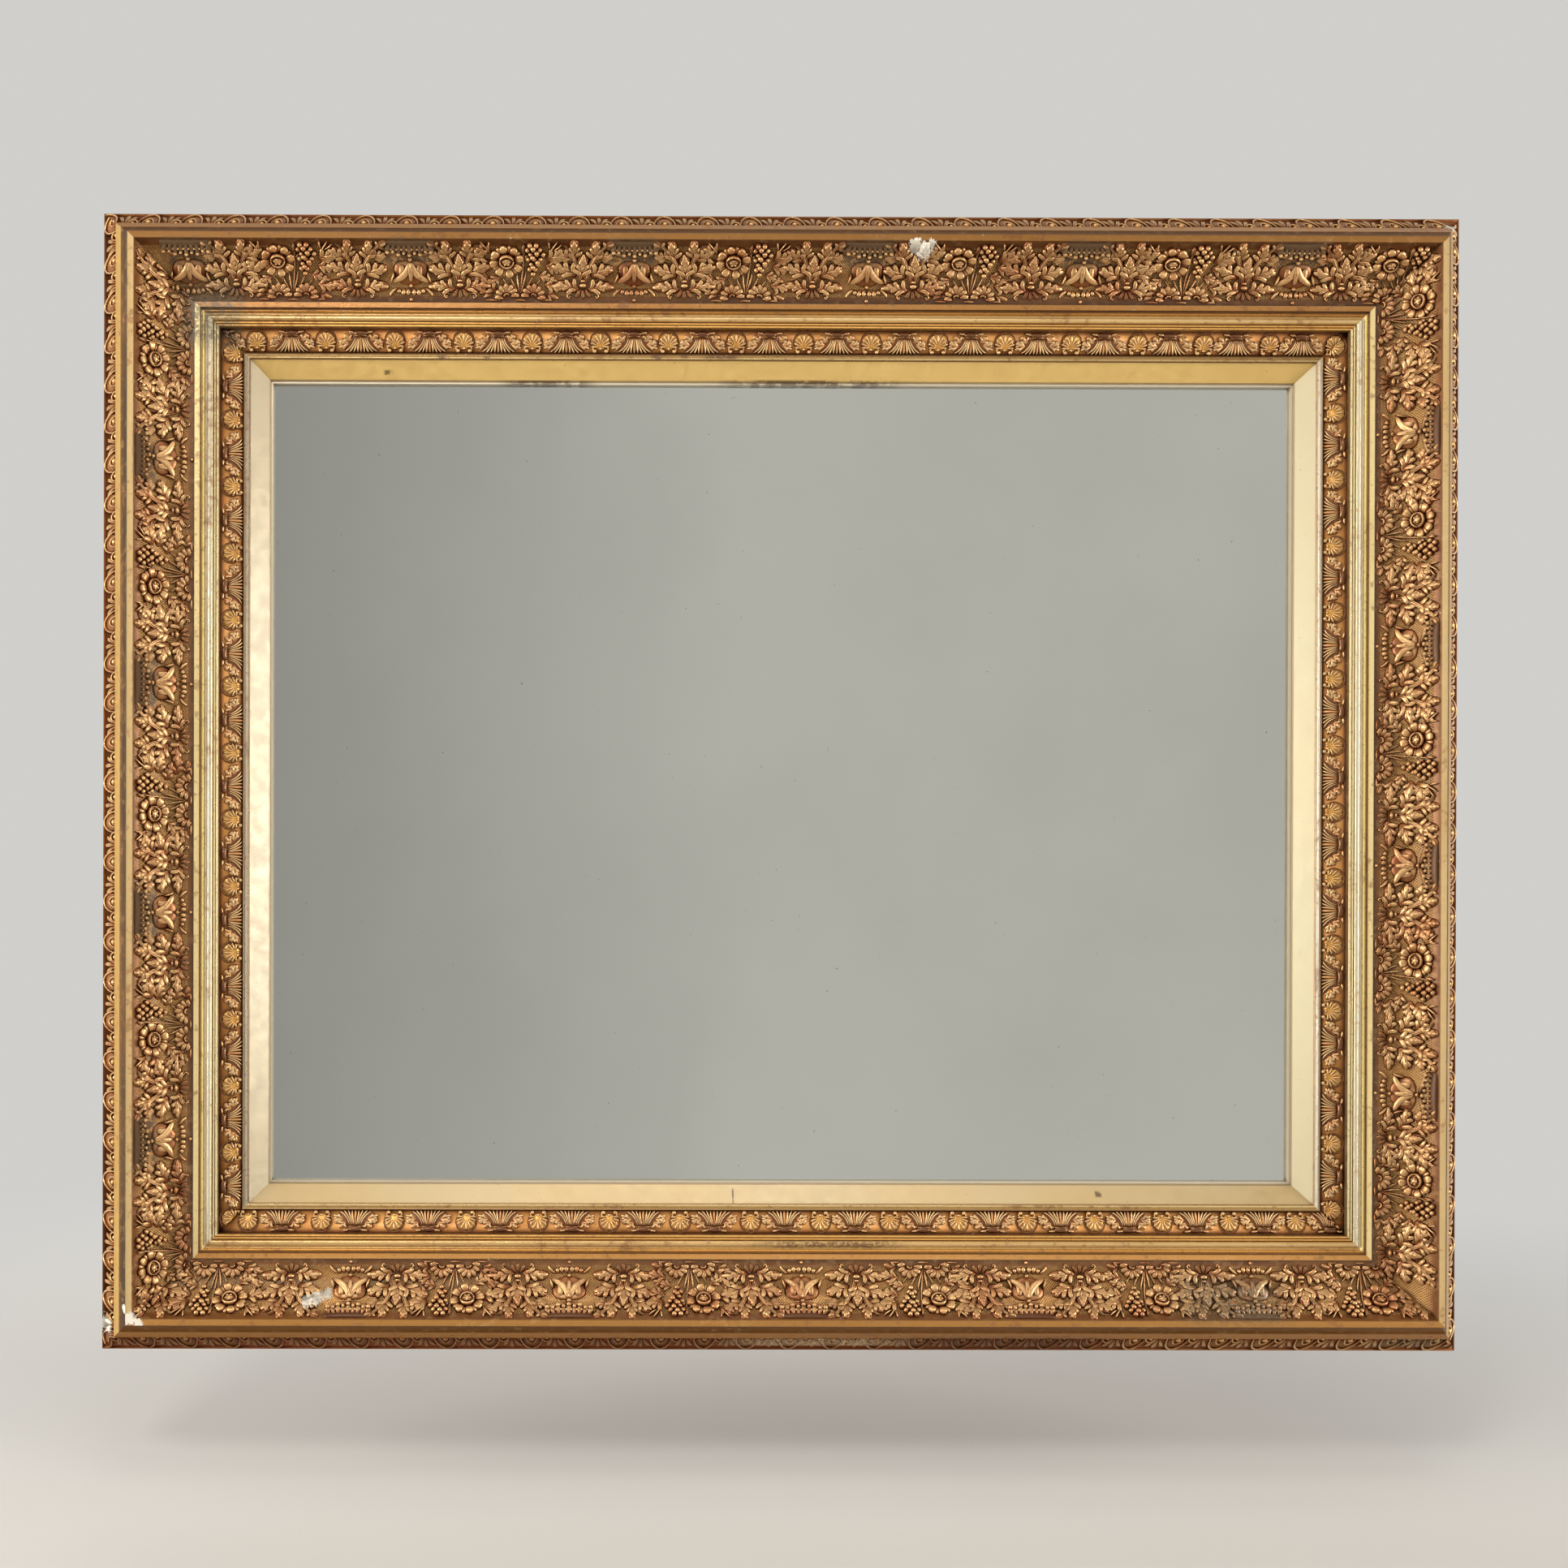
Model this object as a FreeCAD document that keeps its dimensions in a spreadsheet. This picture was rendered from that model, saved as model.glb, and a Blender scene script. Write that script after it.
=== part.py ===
import FreeCAD, Part
import math
import os

import Sketcher
from FreeCAD import Placement, Rotation, Vector

# A carved giltwood wall mirror, in millimetres. The origin is the centre of its flat back, on the wall.
# X runs along the width, Z is up, and the front faces -Y.
# Every rail is drawn as the top one, with X along it, and is then turned about Y to its own side.
# In a rail's section, "in" is measured from the outer edge towards the glass and "depth" from the wall
# towards the viewer.

SIZES = (
    # The whole frame
    ("frame_width", 1300),
    ("frame_height", 1088),
    # Back frame: half lapped boards, screwed at the corners
    ("back_inset", 12),
    ("back_rail_width", 138),
    ("back_rail_depth", 30),
    ("lap_screw_near", 51),
    ("lap_screw_far", 111),
    ("lap_screw_length", 26),
    ("lap_screw_radius", 2.2),
    ("lap_head_radius", 4.5),
    ("lap_head_depth", 2.5),
    # Backboards, let into a rebate at the back
    ("board_depth", 10),
    ("board_rebate", 12),
    ("board_gap", 1),
    ("nail_length", 24),
    ("nail_radius", 1.2),
    ("nail_head_radius", 2.6),
    ("nail_head_depth", 1),
    # Leaf edge, on the outward slope
    ("leaf_base", 34),
    ("leaf_in", 18),
    ("leaf_rise", 31),
    ("leaf_strip_width", 6),
    ("leaf_relief", 2),
    ("arch_pitch", 40.5),
    ("arch_radius", 10),
    ("arch_dart", 9),
    # Outer fillet, hollow and crest
    ("fillet_in", 8),
    ("fillet_rise", 14),
    ("hollow_in", 12),
    ("hollow_rise", 26),
    ("hollow_sag", 3),
    ("crest_width", 6),
    # Cove and inner fillet
    ("cove_in", 50),
    ("cove_drop", 34),
    ("cove_sag", 9),
    ("inner_fillet_rise", 1),
    ("inner_fillet_width", 5),
    # Inner moulding
    ("groove_width", 1.5),
    ("groove_depth", 3),
    ("inner_bead_width", 2.5),
    ("inner_bead_rise", 1),
    ("inner_hollow_width", 2.5),
    ("inner_hollow_sag", 0.8),
    ("torus_width", 6),
    ("torus_rise", 2.6),
    ("twin_bead_width", 2.5),
    ("twin_bead_rise", 1),
    ("frieze_recess", 10),
    ("frieze_width", 21.5),
    ("frieze_drop", 7),
    ("step_rise", 5),
    ("step_hollow_width", 3),
    ("step_hollow_sag", 0.6),
    ("step_bead_width", 3),
    ("step_bead_rise", 1),
    # Shell frieze
    ("frieze_strip_depth", 3),
    ("shell_pitch", 64.5),
    ("shell_radius", 9),
    ("shell_relief", 2.4),
    ("spray_length", 24),
    ("spray_width", 12),
    ("spray_relief", 1.8),
    # Sight slip
    ("slip_width", 17),
    ("slip_step", 2),
    ("slip_drop", 13),
    ("lip_width", 2),
    ("lip_drop", 1.5),
    # Glass
    ("glass_depth", 5),
    ("glass_front", 34),
    ("glass_cover", 11),
    ("glass_block_length", 40),
    ("glass_block_width", 12),
    ("glass_block_depth", 12),
    # Cove ornament
    ("flower_radius", 13.5),
    ("flower_relief", 6),
    ("button_radius", 5),
    ("button_relief", 7.5),
    ("grape_radius", 11),
    ("grape_relief", 5.5),
    ("frond_length", 46),
    ("frond_width", 17),
    ("frond_relief", 5),
    ("palmette_radius", 11),
    ("palmette_relief", 6),
    ("lappet_length", 58),
    ("lappet_width", 13),
    ("lappet_relief", 5),
    # Hangers
    ("hanger_spacing", 960),
    ("hanger_drop", 60),
    ("strap_width", 16),
    ("strap_length", 62),
    ("strap_thickness", 2),
    ("eye_wall", 2),
    ("ring_wire", 4),
    ("ring_bar", 22),
    ("ring_corner", 4),
    ("ring_side", 4),
    ("hanger_screw_first", 34),
    ("hanger_screw_pitch", 18),
    ("hanger_screw_length", 16),
    ("hanger_screw_radius", 1.8),
    ("hanger_head_radius", 3.6),
    ("hanger_head_depth", 1.6),
    ("screw_slot_width", 1),
    ("screw_slot_depth", 0.8),
    # Fits
    ("fit_clearance", 0.05),
    ("glass_clearance", 2),
    ("cut_overrun", 3),
)

SIDES = {"top": 0, "right": 90, "bottom": 180, "left": 270}
LONG_SIDES = ("top", "bottom")
BOARD_COUNT = 5
NAIL_SHARES = (-0.25, 0.25)
LONG_BLOCK_SHARES = (-0.34, -0.17, 0, 0.17, 0.34)
SHORT_BLOCK_SHARES = (-0.3, -0.1, 0.1, 0.3)

# Places of the castings along each rail, as shares of its length, from left to right on the top and
# bottom rails and upwards on the left and right ones
FLOWER_SHARES = {
    "top": (-0.366, -0.202, -0.039, 0.123, 0.277, 0.434),
    "bottom": (-0.399, -0.228, -0.058, 0.111, 0.272, 0.429),
    "left": (-0.419, -0.223, -0.029, 0.166, 0.360),
    "right": (-0.342, -0.153, 0.037, 0.226, 0.414),
}
PALMETTE_SHARES = {
    "top": (-0.430, -0.271, -0.110, 0.058, 0.213, 0.367),
    "bottom": (-0.313, -0.155, 0.013, 0.176, 0.339),
    "left": (-0.310, -0.114, 0.083, 0.277),
    "right": (-0.268, -0.071, 0.119, 0.302),
}
# Where the castings lie across the cove, as shares of its width from the crest
FLOWER_ACROSS_SHARE = 0.4
GRAPE_ACROSS_SHARE = 0.4
FROND_ACROSS_SHARE = 0.54
PALMETTE_ACROSS_SHARE = 0.6
LAPPET_ACROSS_SHARE = 0.2
MIDDLE_SHARE = 0.5
# The frond's lean from square to the rail, in degrees
FROND_LEAN = 22

Y_AXIS = Vector(0, 1, 0)


def total(*names):
    """The sum of the named sizes, in the sheet's words; a name with a minus is taken away."""
    words = ""
    for name in names:
        sign = " - " if name.startswith("-") else " + "
        words += sign + "Sizes." + name.lstrip("-")
    return "(" + words.strip().lstrip("+ ") + ")"


# Lines of the section, from the outer edge inwards
LEAF_TOP = total("leaf_in")
FILLET_TOP = total("leaf_in", "fillet_in")
CREST_OUT = total("leaf_in", "fillet_in", "hollow_in")
CREST_IN = f"({CREST_OUT} + Sizes.crest_width)"
COVE_END = f"({CREST_IN} + Sizes.cove_in)"
FILLET_END = f"({COVE_END} + Sizes.inner_fillet_width)"
GROOVE_END = f"({FILLET_END} + Sizes.groove_width)"
BEAD_END = f"({GROOVE_END} + Sizes.inner_bead_width)"
HOLLOW_END = f"({BEAD_END} + Sizes.inner_hollow_width)"
TORUS_END = f"({HOLLOW_END} + Sizes.torus_width)"
TWIN_MIDDLE = f"({TORUS_END} + Sizes.twin_bead_width)"
FRIEZE_OUT = f"({TWIN_MIDDLE} + Sizes.twin_bead_width)"
FRIEZE_IN = f"({FRIEZE_OUT} + Sizes.frieze_width)"
STEP_MIDDLE = f"({FRIEZE_IN} + Sizes.step_hollow_width)"
SLIP_OUT = f"({STEP_MIDDLE} + Sizes.step_bead_width)"
SLIP_IN = f"({SLIP_OUT} + Sizes.slip_width)"
SIGHT = f"({SLIP_IN} + Sizes.lip_width)"
GLASS_EDGE = f"({SIGHT} - Sizes.glass_cover)"
BACK_OUT = total("back_inset")
BACK_IN = total("back_inset", "back_rail_width")
REBATE_EDGE = total("back_inset", "back_rail_width", "-board_rebate")

# Levels of the section, from the wall forwards
BACK_FRONT = total("back_rail_depth")
LEAF_BASE = total("leaf_base")
LEAF_LEVEL = total("leaf_base", "leaf_rise")
FILLET_LEVEL = f"({LEAF_LEVEL} + Sizes.fillet_rise)"
CREST_LEVEL = f"({FILLET_LEVEL} + Sizes.hollow_rise)"
COVE_LEVEL = f"({CREST_LEVEL} - Sizes.cove_drop)"
INNER_LEVEL = f"({COVE_LEVEL} + Sizes.inner_fillet_rise)"
BEAD_LEVEL = f"({INNER_LEVEL} - Sizes.groove_depth)"
BED_OUT_LEVEL = f"({BEAD_LEVEL} - Sizes.frieze_recess)"
BED_IN_LEVEL = f"({BED_OUT_LEVEL} - Sizes.frieze_drop)"
STEP_LEVEL = f"({BED_IN_LEVEL} + Sizes.step_rise)"
SLIP_LEVEL = f"({STEP_LEVEL} - Sizes.slip_step)"
SLIP_IN_LEVEL = f"({SLIP_LEVEL} - Sizes.slip_drop)"
LIP_LEVEL = f"({SLIP_IN_LEVEL} - Sizes.lip_drop)"
GLASS_FRONT = total("glass_front")

document = FreeCAD.newDocument("carved_giltwood_mirror")


def make_sheet():
    """The driving sizes, one row each."""
    made = document.addObject("Spreadsheet::Sheet", "Sizes")
    for row, (alias, size) in enumerate(SIZES, start=1):
        made.set(f"A{row}", alias.replace("_", " "))
        made.set(f"B{row}", str(size))
        made.setAlias(f"B{row}", alias)
    document.recompute()


make_sheet()
probe = document.addObject("App::FeaturePython", "Reader")


def value(words):
    """A size, or a sum of sizes, as a number of millimetres."""
    found = probe.evalExpression(words)
    return float(getattr(found, "Value", found))


def size(name):
    """One cell of the sheet."""
    return value("Sizes." + name)


def rail_length(side):
    """The name of the frame's size along a side."""
    return "frame_width" if side in LONG_SIDES else "frame_height"


def half_across(side):
    """Half of the frame's size square to a side, in the sheet's words."""
    across = "frame_height" if side in LONG_SIDES else "frame_width"
    return f"Sizes.{across} / 2"


def turned(side):
    """The turn that takes the top rail to its own side."""
    return Placement(Vector(), Rotation(Y_AXIS, SIDES[side]))


def new_body(label):
    """A body for one piece."""
    made = document.addObject("PartDesign::Body", label)
    made.Label = label
    return made


def plane_of(body, role):
    """One of the body's own origin planes."""
    return next(plane for plane in body.Origin.OriginFeatures if plane.Role == role)


def new_sketch(body, role, name):
    """A sketch on one of the body's origin planes."""
    sketch = body.newObject("Sketcher::SketchObject", f"{body.Label}_{name}")
    sketch.AttachmentSupport = [(plane_of(body, role), "")]
    sketch.MapMode = "FlatFace"
    return sketch


def pin(sketch, geometry, end, across, along):
    """Ties a point of the sketch to the sheet by its two distances from the origin."""
    for kind, words in (("DistanceX", across), ("DistanceY", along)):
        made = sketch.addConstraint(Sketcher.Constraint(kind, -1, 1, geometry, end, value(words)))
        sketch.setExpression(f"Constraints[{made}]", words)


def arc_between(first, middle, last):
    """An anticlockwise arc through three points, and whether it starts at the first one."""
    circle = Part.Arc(first, middle, last).toShape().Curve
    centre = circle.Center
    angles = [math.atan2(point.y - centre.y, point.x - centre.x) for point in (first, middle, last)]
    sweep_middle = (angles[1] - angles[0]) % (2 * math.pi)
    sweep_last = (angles[2] - angles[0]) % (2 * math.pi)
    forwards = sweep_middle < sweep_last
    start, end = (angles[0], angles[2]) if forwards else (angles[2], angles[0])
    upright = Part.Circle(centre, Vector(0, 0, 1), circle.Radius)
    return Part.ArcOfCircle(upright, start, end), forwards


def draw(sketch, points):
    """Draws a closed outline. A point is (across, along) or, at the end of an arc, has the arc's rise
    and the side that it swells to, +1 for the left of its direction."""
    places = [Vector(value(point[0]), value(point[1]), 0) for point in points]
    ends = []
    for index, point in enumerate(points):
        before = places[index - 1]
        here = places[index]
        if len(point) == 2:
            made = sketch.addGeometry(Part.LineSegment(before, here))
            ends.append((made, 1, 2))
            continue
        run = here - before
        left = Vector(-run.y, run.x, 0).normalize()
        middle = (before + here) / 2 + left * value(point[2]) * point[3]
        arc, forwards = arc_between(before, middle, here)
        made = sketch.addGeometry(arc)
        ends.append((made, 1, 2) if forwards else (made, 2, 1))
    for index, (made, first, last) in enumerate(ends):
        following = ends[(index + 1) % len(ends)]
        sketch.addConstraint(Sketcher.Constraint("Coincident", made, last, following[0], following[1]))
        pin(sketch, made, last, points[index][0], points[index][1])
        if len(points[index]) == 4:
            rise = points[index][2]
            width = f"(({points[index][0]}) - ({points[index - 1][0]}))"
            height = f"(({points[index][1]}) - ({points[index - 1][1]}))"
            radius = f"(({width} ^ 2 + {height} ^ 2) / 4 + {rise} ^ 2) / (2 * {rise})"
            tie = sketch.addConstraint(Sketcher.Constraint("Radius", made, value(radius)))
            sketch.setExpression(f"Constraints[{tie}]", radius)


def draw_circles(sketch, centres, radius):
    """Draws circles of one radius at places given in the sheet's words."""
    for across, along in centres:
        place = Vector(value(across), value(along), 0)
        made = sketch.addGeometry(Part.Circle(place, Vector(0, 0, 1), value(radius)))
        pin(sketch, made, 3, across, along)
        tie = sketch.addConstraint(Sketcher.Constraint("Radius", made, value(radius)))
        sketch.setExpression(f"Constraints[{tie}]", radius)


def corners(left, right, low, high):
    """The four corners of an upright rectangle."""
    return [(left, low), (right, low), (right, high), (left, high)]


def pad(body, sketch, length, both_ways=False):
    """Thickens a sketch."""
    made = body.newObject("PartDesign::Pad", f"{sketch.Label}_pad")
    made.Profile = sketch
    made.SideType = "Symmetric" if both_ways else "One side"
    made.setExpression("Length", length)
    document.recompute()
    return made


def pocket(body, sketch, length, both_ways=False):
    """Cuts a sketch into the body, away from the wall or both ways, and makes sure that it did."""
    before = body.Shape.Volume
    made = body.newObject("PartDesign::Pocket", f"{sketch.Label}_pocket")
    made.Profile = sketch
    made.SideType = "Symmetric" if both_ways else "One side"
    made.Reversed = not both_ways
    made.setExpression("Length", length)
    document.recompute()
    if not body.Shape.Volume < before:
        raise RuntimeError(f"{sketch.Label} cuts nothing")
    return made


def mitred_rail(label, side, outline):
    """A moulding of the given section, (in, depth) points, mitred at both ends."""
    body = new_body(label)
    half = half_across(side)
    section = new_sketch(body, "YZ_Plane", "section")
    draw(section, [(f"-({point[1]})", f"{half} - {point[0]}", *flip(point)) for point in outline])
    pad(body, section, "Sizes." + rail_length(side), both_ways=True)
    mitres = new_sketch(body, "XZ_Plane", "mitres")
    end = f"Sizes.{rail_length(side)} / 2"
    beyond = f"{end} + Sizes.cut_overrun"
    inner = f"{SIGHT} + Sizes.cut_overrun"
    for sign in ("", "-"):
        triangle = [
            (f"{sign}({beyond})", f"{half} + Sizes.cut_overrun"),
            (f"{sign}({beyond})", f"{half} - ({inner})"),
            (f"{sign}({end} - ({inner}))", f"{half} - ({inner})"),
        ]
        draw(mitres, triangle)
    pocket(body, mitres, f"2 * ({CREST_LEVEL} + Sizes.cut_overrun)", both_ways=True)
    body.Placement = turned(side)
    return body


def flip(point):
    """The arc of a section point, for a section drawn with depth to the left."""
    return (point[2], -point[3]) if len(point) == 4 else ()


def cove_outline():
    """Outer fillet, hollow, crest, cove and inner fillet."""
    foot = total("leaf_relief", "leaf_strip_width")
    return [
        (foot, BACK_FRONT),
        (foot, LEAF_BASE),
        (f"({LEAF_TOP} + {foot})", LEAF_LEVEL),
        (LEAF_TOP, LEAF_LEVEL),
        (FILLET_TOP, FILLET_LEVEL),
        (CREST_OUT, CREST_LEVEL, "Sizes.hollow_sag", -1),
        (CREST_IN, CREST_LEVEL),
        (COVE_END, COVE_LEVEL, "Sizes.cove_sag", -1),
        (COVE_END, INNER_LEVEL),
        (FILLET_END, INNER_LEVEL),
        (FILLET_END, BACK_FRONT),
    ]


def inner_outline():
    """Groove, bead, hollow, torus, twin beads, bed of the frieze, and the step down to the slip."""
    return [
        (FILLET_END, BACK_FRONT),
        (FILLET_END, BEAD_LEVEL),
        (GROOVE_END, BEAD_LEVEL),
        (BEAD_END, BEAD_LEVEL, "Sizes.inner_bead_rise", 1),
        (HOLLOW_END, BEAD_LEVEL, "Sizes.inner_hollow_sag", -1),
        (TORUS_END, BEAD_LEVEL, "Sizes.torus_rise", 1),
        (TWIN_MIDDLE, BEAD_LEVEL, "Sizes.twin_bead_rise", 1),
        (FRIEZE_OUT, BEAD_LEVEL, "Sizes.twin_bead_rise", 1),
        (FRIEZE_OUT, BED_OUT_LEVEL),
        (FRIEZE_IN, BED_IN_LEVEL),
        (FRIEZE_IN, STEP_LEVEL),
        (STEP_MIDDLE, STEP_LEVEL, "Sizes.step_hollow_sag", -1),
        (SLIP_OUT, STEP_LEVEL, "Sizes.step_bead_rise", 1),
        (SLIP_OUT, BACK_FRONT),
    ]


def slip_outline():
    """The sloping gilt slip, with its lip in front of the glass and a rebate behind it."""
    behind = f"({GLASS_EDGE} - Sizes.glass_clearance / 2)"
    return [
        (SLIP_OUT, BACK_FRONT),
        (SLIP_OUT, SLIP_LEVEL),
        (SLIP_IN, SLIP_IN_LEVEL),
        (SLIP_IN, LIP_LEVEL),
        (SIGHT, LIP_LEVEL),
        (SIGHT, GLASS_FRONT),
        (behind, GLASS_FRONT),
        (behind, BACK_FRONT),
    ]


def nail_lines(half):
    """Heights of the nails, above and below the middle, in the rebate of the back frame."""
    middle = f"({half} - {REBATE_EDGE} - Sizes.board_rebate / 2)"
    return middle, f"-{middle}"


def board_width():
    """The width of one backboard."""
    opening = f"(Sizes.frame_width - 2 * {REBATE_EDGE})"
    return f"({opening} / {BOARD_COUNT} - Sizes.board_gap)"


def board_centre(number):
    """The place of a backboard's middle along the width; number 1 is at the left."""
    from_middle = number - (BOARD_COUNT + 1) / 2
    return f"({from_middle} * ({board_width()} + Sizes.board_gap))"


def nail_places(number):
    """Places of one board's nails along the width."""
    return [f"({board_centre(number)} + {share} * {board_width()})" for share in NAIL_SHARES]


def lap_screw_places(length, half):
    """Places of the screws in both lapped corners of a rail."""
    near, far = "Sizes.lap_screw_near", "Sizes.lap_screw_far"
    places = []
    for along, across in ((near, far), (far, near)):
        for sign in ("", "-"):
            places.append((f"{sign}({length} / 2 - {along})", f"{half} - {across}"))
    return places


def hanger_height():
    """The height of the rings' hinge."""
    return "(Sizes.frame_height / 2 - Sizes.hanger_drop)"


def hanger_screw_places():
    """Places of the screws of both straps."""
    places = []
    for sign in ("", "-"):
        for step in range(2):
            height = f"{hanger_height()} - Sizes.hanger_screw_first - {step} * Sizes.hanger_screw_pitch"
            places.append((f"{sign}Sizes.hanger_spacing / 2", height))
    return places


def drill(body, name, places, radius, length):
    """Round holes from the wall plane forwards."""
    holes = new_sketch(body, "XZ_Plane", name)
    draw_circles(holes, places, f"{radius} + Sizes.fit_clearance")
    pocket(body, holes, length)


def back_rail(side):
    """One board of the back frame, lapped at its ends and rebated for the backboards."""
    body = new_body(f"back_rail_{side}")
    length = "Sizes." + rail_length(side)
    half = half_across(side)
    end = f"({length} / 2 - {BACK_OUT})"
    board = new_sketch(body, "XZ_Plane", "board")
    draw(board, corners(f"-{end}", end, f"{half} - {BACK_IN}", f"{half} - {BACK_OUT}"))
    pad(body, board, "Sizes.back_rail_depth")
    laps = new_sketch(body, "XY_Plane", "laps")
    front = f"-({BACK_FRONT} + Sizes.cut_overrun)"
    middle = f"-{BACK_FRONT} / 2"
    low, high = (front, middle) if side in LONG_SIDES else (middle, "Sizes.cut_overrun")
    shoulder = f"({length} / 2 - {BACK_IN})"
    beyond = f"({end} + Sizes.cut_overrun)"
    draw(laps, corners(shoulder, beyond, low, high))
    draw(laps, corners(f"-{beyond}", f"-{shoulder}", low, high))
    pocket(body, laps, f"2 * ({half} + Sizes.cut_overrun)", both_ways=True)
    rebate = new_sketch(body, "XZ_Plane", "rebate")
    reach = f"({length} / 2 - {REBATE_EDGE})"
    floor = f"{half} - {BACK_IN} - Sizes.cut_overrun"
    draw(rebate, corners(f"-{reach}", reach, floor, f"{half} - {REBATE_EDGE}"))
    pocket(body, rebate, "Sizes.board_depth")
    screws = lap_screw_places(length, half)
    drill(body, "screw_holes", screws, "Sizes.lap_screw_radius", "Sizes.lap_screw_length")
    if side in LONG_SIDES:
        drill(body, "screw_heads", screws, "Sizes.lap_head_radius", "Sizes.lap_head_depth")
        level = nail_lines(half)[0]
        nails = [(x, level) for number in range(1, BOARD_COUNT + 1) for x in nail_places(number)]
        drill(body, "nail_holes", nails, "Sizes.nail_radius", "Sizes.nail_length")
    if side == "top":
        places = hanger_screw_places()
        drill(body, "hanger_holes", places, "Sizes.hanger_screw_radius", "Sizes.hanger_screw_length")
    body.Placement = turned(side)
    return body


def backboard(number):
    """One upright board of the back, flush with the back frame."""
    body = new_body(f"backboard_{number}")
    half = "Sizes.frame_height / 2"
    end = f"({half} - {REBATE_EDGE} - Sizes.board_gap)"
    edge = f"{board_width()} / 2"
    middle = board_centre(number)
    board = new_sketch(body, "XZ_Plane", "board")
    draw(board, corners(f"{middle} - {edge}", f"{middle} + {edge}", f"-{end}", end))
    pad(body, board, "Sizes.board_depth")
    nails = [(x, level) for x in nail_places(number) for level in nail_lines(half)]
    drill(body, "nail_holes", nails, "Sizes.nail_radius", "2 * Sizes.board_depth")
    drill(body, "nail_heads", nails, "Sizes.nail_head_radius", "Sizes.nail_head_depth")
    return body


def mirror_glass():
    """The silvered plate, held under the slips."""
    glass = document.addObject("Part::Box", "mirror_glass")
    glass.Label = "mirror_glass"
    width = f"(Sizes.frame_width - 2 * {GLASS_EDGE})"
    height = f"(Sizes.frame_height - 2 * {GLASS_EDGE})"
    glass.setExpression("Length", width)
    glass.setExpression("Width", "Sizes.glass_depth")
    glass.setExpression("Height", height)
    glass.setExpression("Placement.Base.x", f"-{width} / 2")
    glass.setExpression("Placement.Base.y", f"-{GLASS_FRONT}")
    glass.setExpression("Placement.Base.z", f"-{height} / 2")
    return glass


def feature(label, shape):
    """A piece whose shape is made directly."""
    made = document.addObject("Part::Feature", label)
    made.Label = label
    made.Shape = shape
    return made


def point_at(side, along, inwards, depth):
    """A point of a rail drawn as the top one."""
    return Vector(along, -depth, value(half_across(side)) - inwards)


def bar(side, outline, middle, length):
    """A straight bar of the given section, (in, depth) numbers, centred at a place along the rail."""
    start = middle - length / 2
    section = [point_at(side, start, inwards, depth) for inwards, depth in outline]
    return flat(section).extrude(Vector(length, 0, 0))


def glass_blocks():
    """Chamfered softwood blocks, glued to the back frame behind the glass."""
    inwards = value(BACK_IN)
    back = value(GLASS_FRONT) - size("glass_depth")
    width = size("glass_block_width")
    depth = size("glass_block_depth")
    outline = [
        (inwards, back),
        (inwards + width, back),
        (inwards + width, back - depth / 2),
        (inwards + width / 2, back - depth),
        (inwards, back - depth),
    ]
    blocks = []
    for side in SIDES:
        for share in LONG_BLOCK_SHARES if side in LONG_SIDES else SHORT_BLOCK_SHARES:
            block = bar(side, outline, share * size(rail_length(side)), size("glass_block_length"))
            block.Placement = turned(side)
            blocks.append(block)
    return feature("glass_blocks", Part.makeCompound(blocks))


def fixing(place, front, length, radius, head_radius, head_depth, proud=False, slotted=True):
    """A screw or nail driven forwards at (along, up), its head flush with the face there or proud of it."""
    forwards = Vector(0, -1, 0)
    along, up = place
    back = front + head_depth if proud else front
    head = Part.makeCylinder(head_radius, head_depth, Vector(along, back, up), forwards)
    if slotted:
        width, deep = size("screw_slot_width"), size("screw_slot_depth")
        corner = Vector(along - head_radius, back - deep, up - width / 2)
        head = head.cut(Part.makeBox(2 * head_radius, 2 * deep, width, corner))
    seat = back - head_depth
    shank = Part.makeCylinder(radius, length - (front - seat), Vector(along, seat, up), forwards)
    return head.fuse(shank).removeSplitter()


def lap_screws():
    """Flush screws of the four lapped corners."""
    screws = []
    for side in LONG_SIDES:
        for across, along in lap_screw_places("Sizes.frame_width", half_across(side)):
            screw = fixing(
                (value(across), value(along)), 0, size("lap_screw_length"), size("lap_screw_radius"),
                size("lap_head_radius"), size("lap_head_depth"))
            screw.Placement = turned(side)
            screws.append(screw)
    return feature("lap_screws", Part.makeCompound(screws))


def board_nails():
    """Flush nails at both ends of every backboard."""
    nails = []
    for number in range(1, BOARD_COUNT + 1):
        for across in nail_places(number):
            for level in nail_lines("Sizes.frame_height / 2"):
                nails.append(fixing(
                    (value(across), value(level)), 0, size("nail_length"), size("nail_radius"),
                    size("nail_head_radius"), size("nail_head_depth"), slotted=False))
    return feature("board_nails", Part.makeCompound(nails))


def hanger_screws():
    """Screws of both straps, with their heads on the strap."""
    screws = []
    for across, up in hanger_screw_places():
        length = size("hanger_screw_length") + size("strap_thickness")
        screws.append(fixing(
            (value(across), value(up)), size("strap_thickness"), length, size("hanger_screw_radius"),
            size("hanger_head_radius"), size("hanger_head_depth"), proud=True))
    return feature("hanger_screws", Part.makeCompound(screws))


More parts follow.
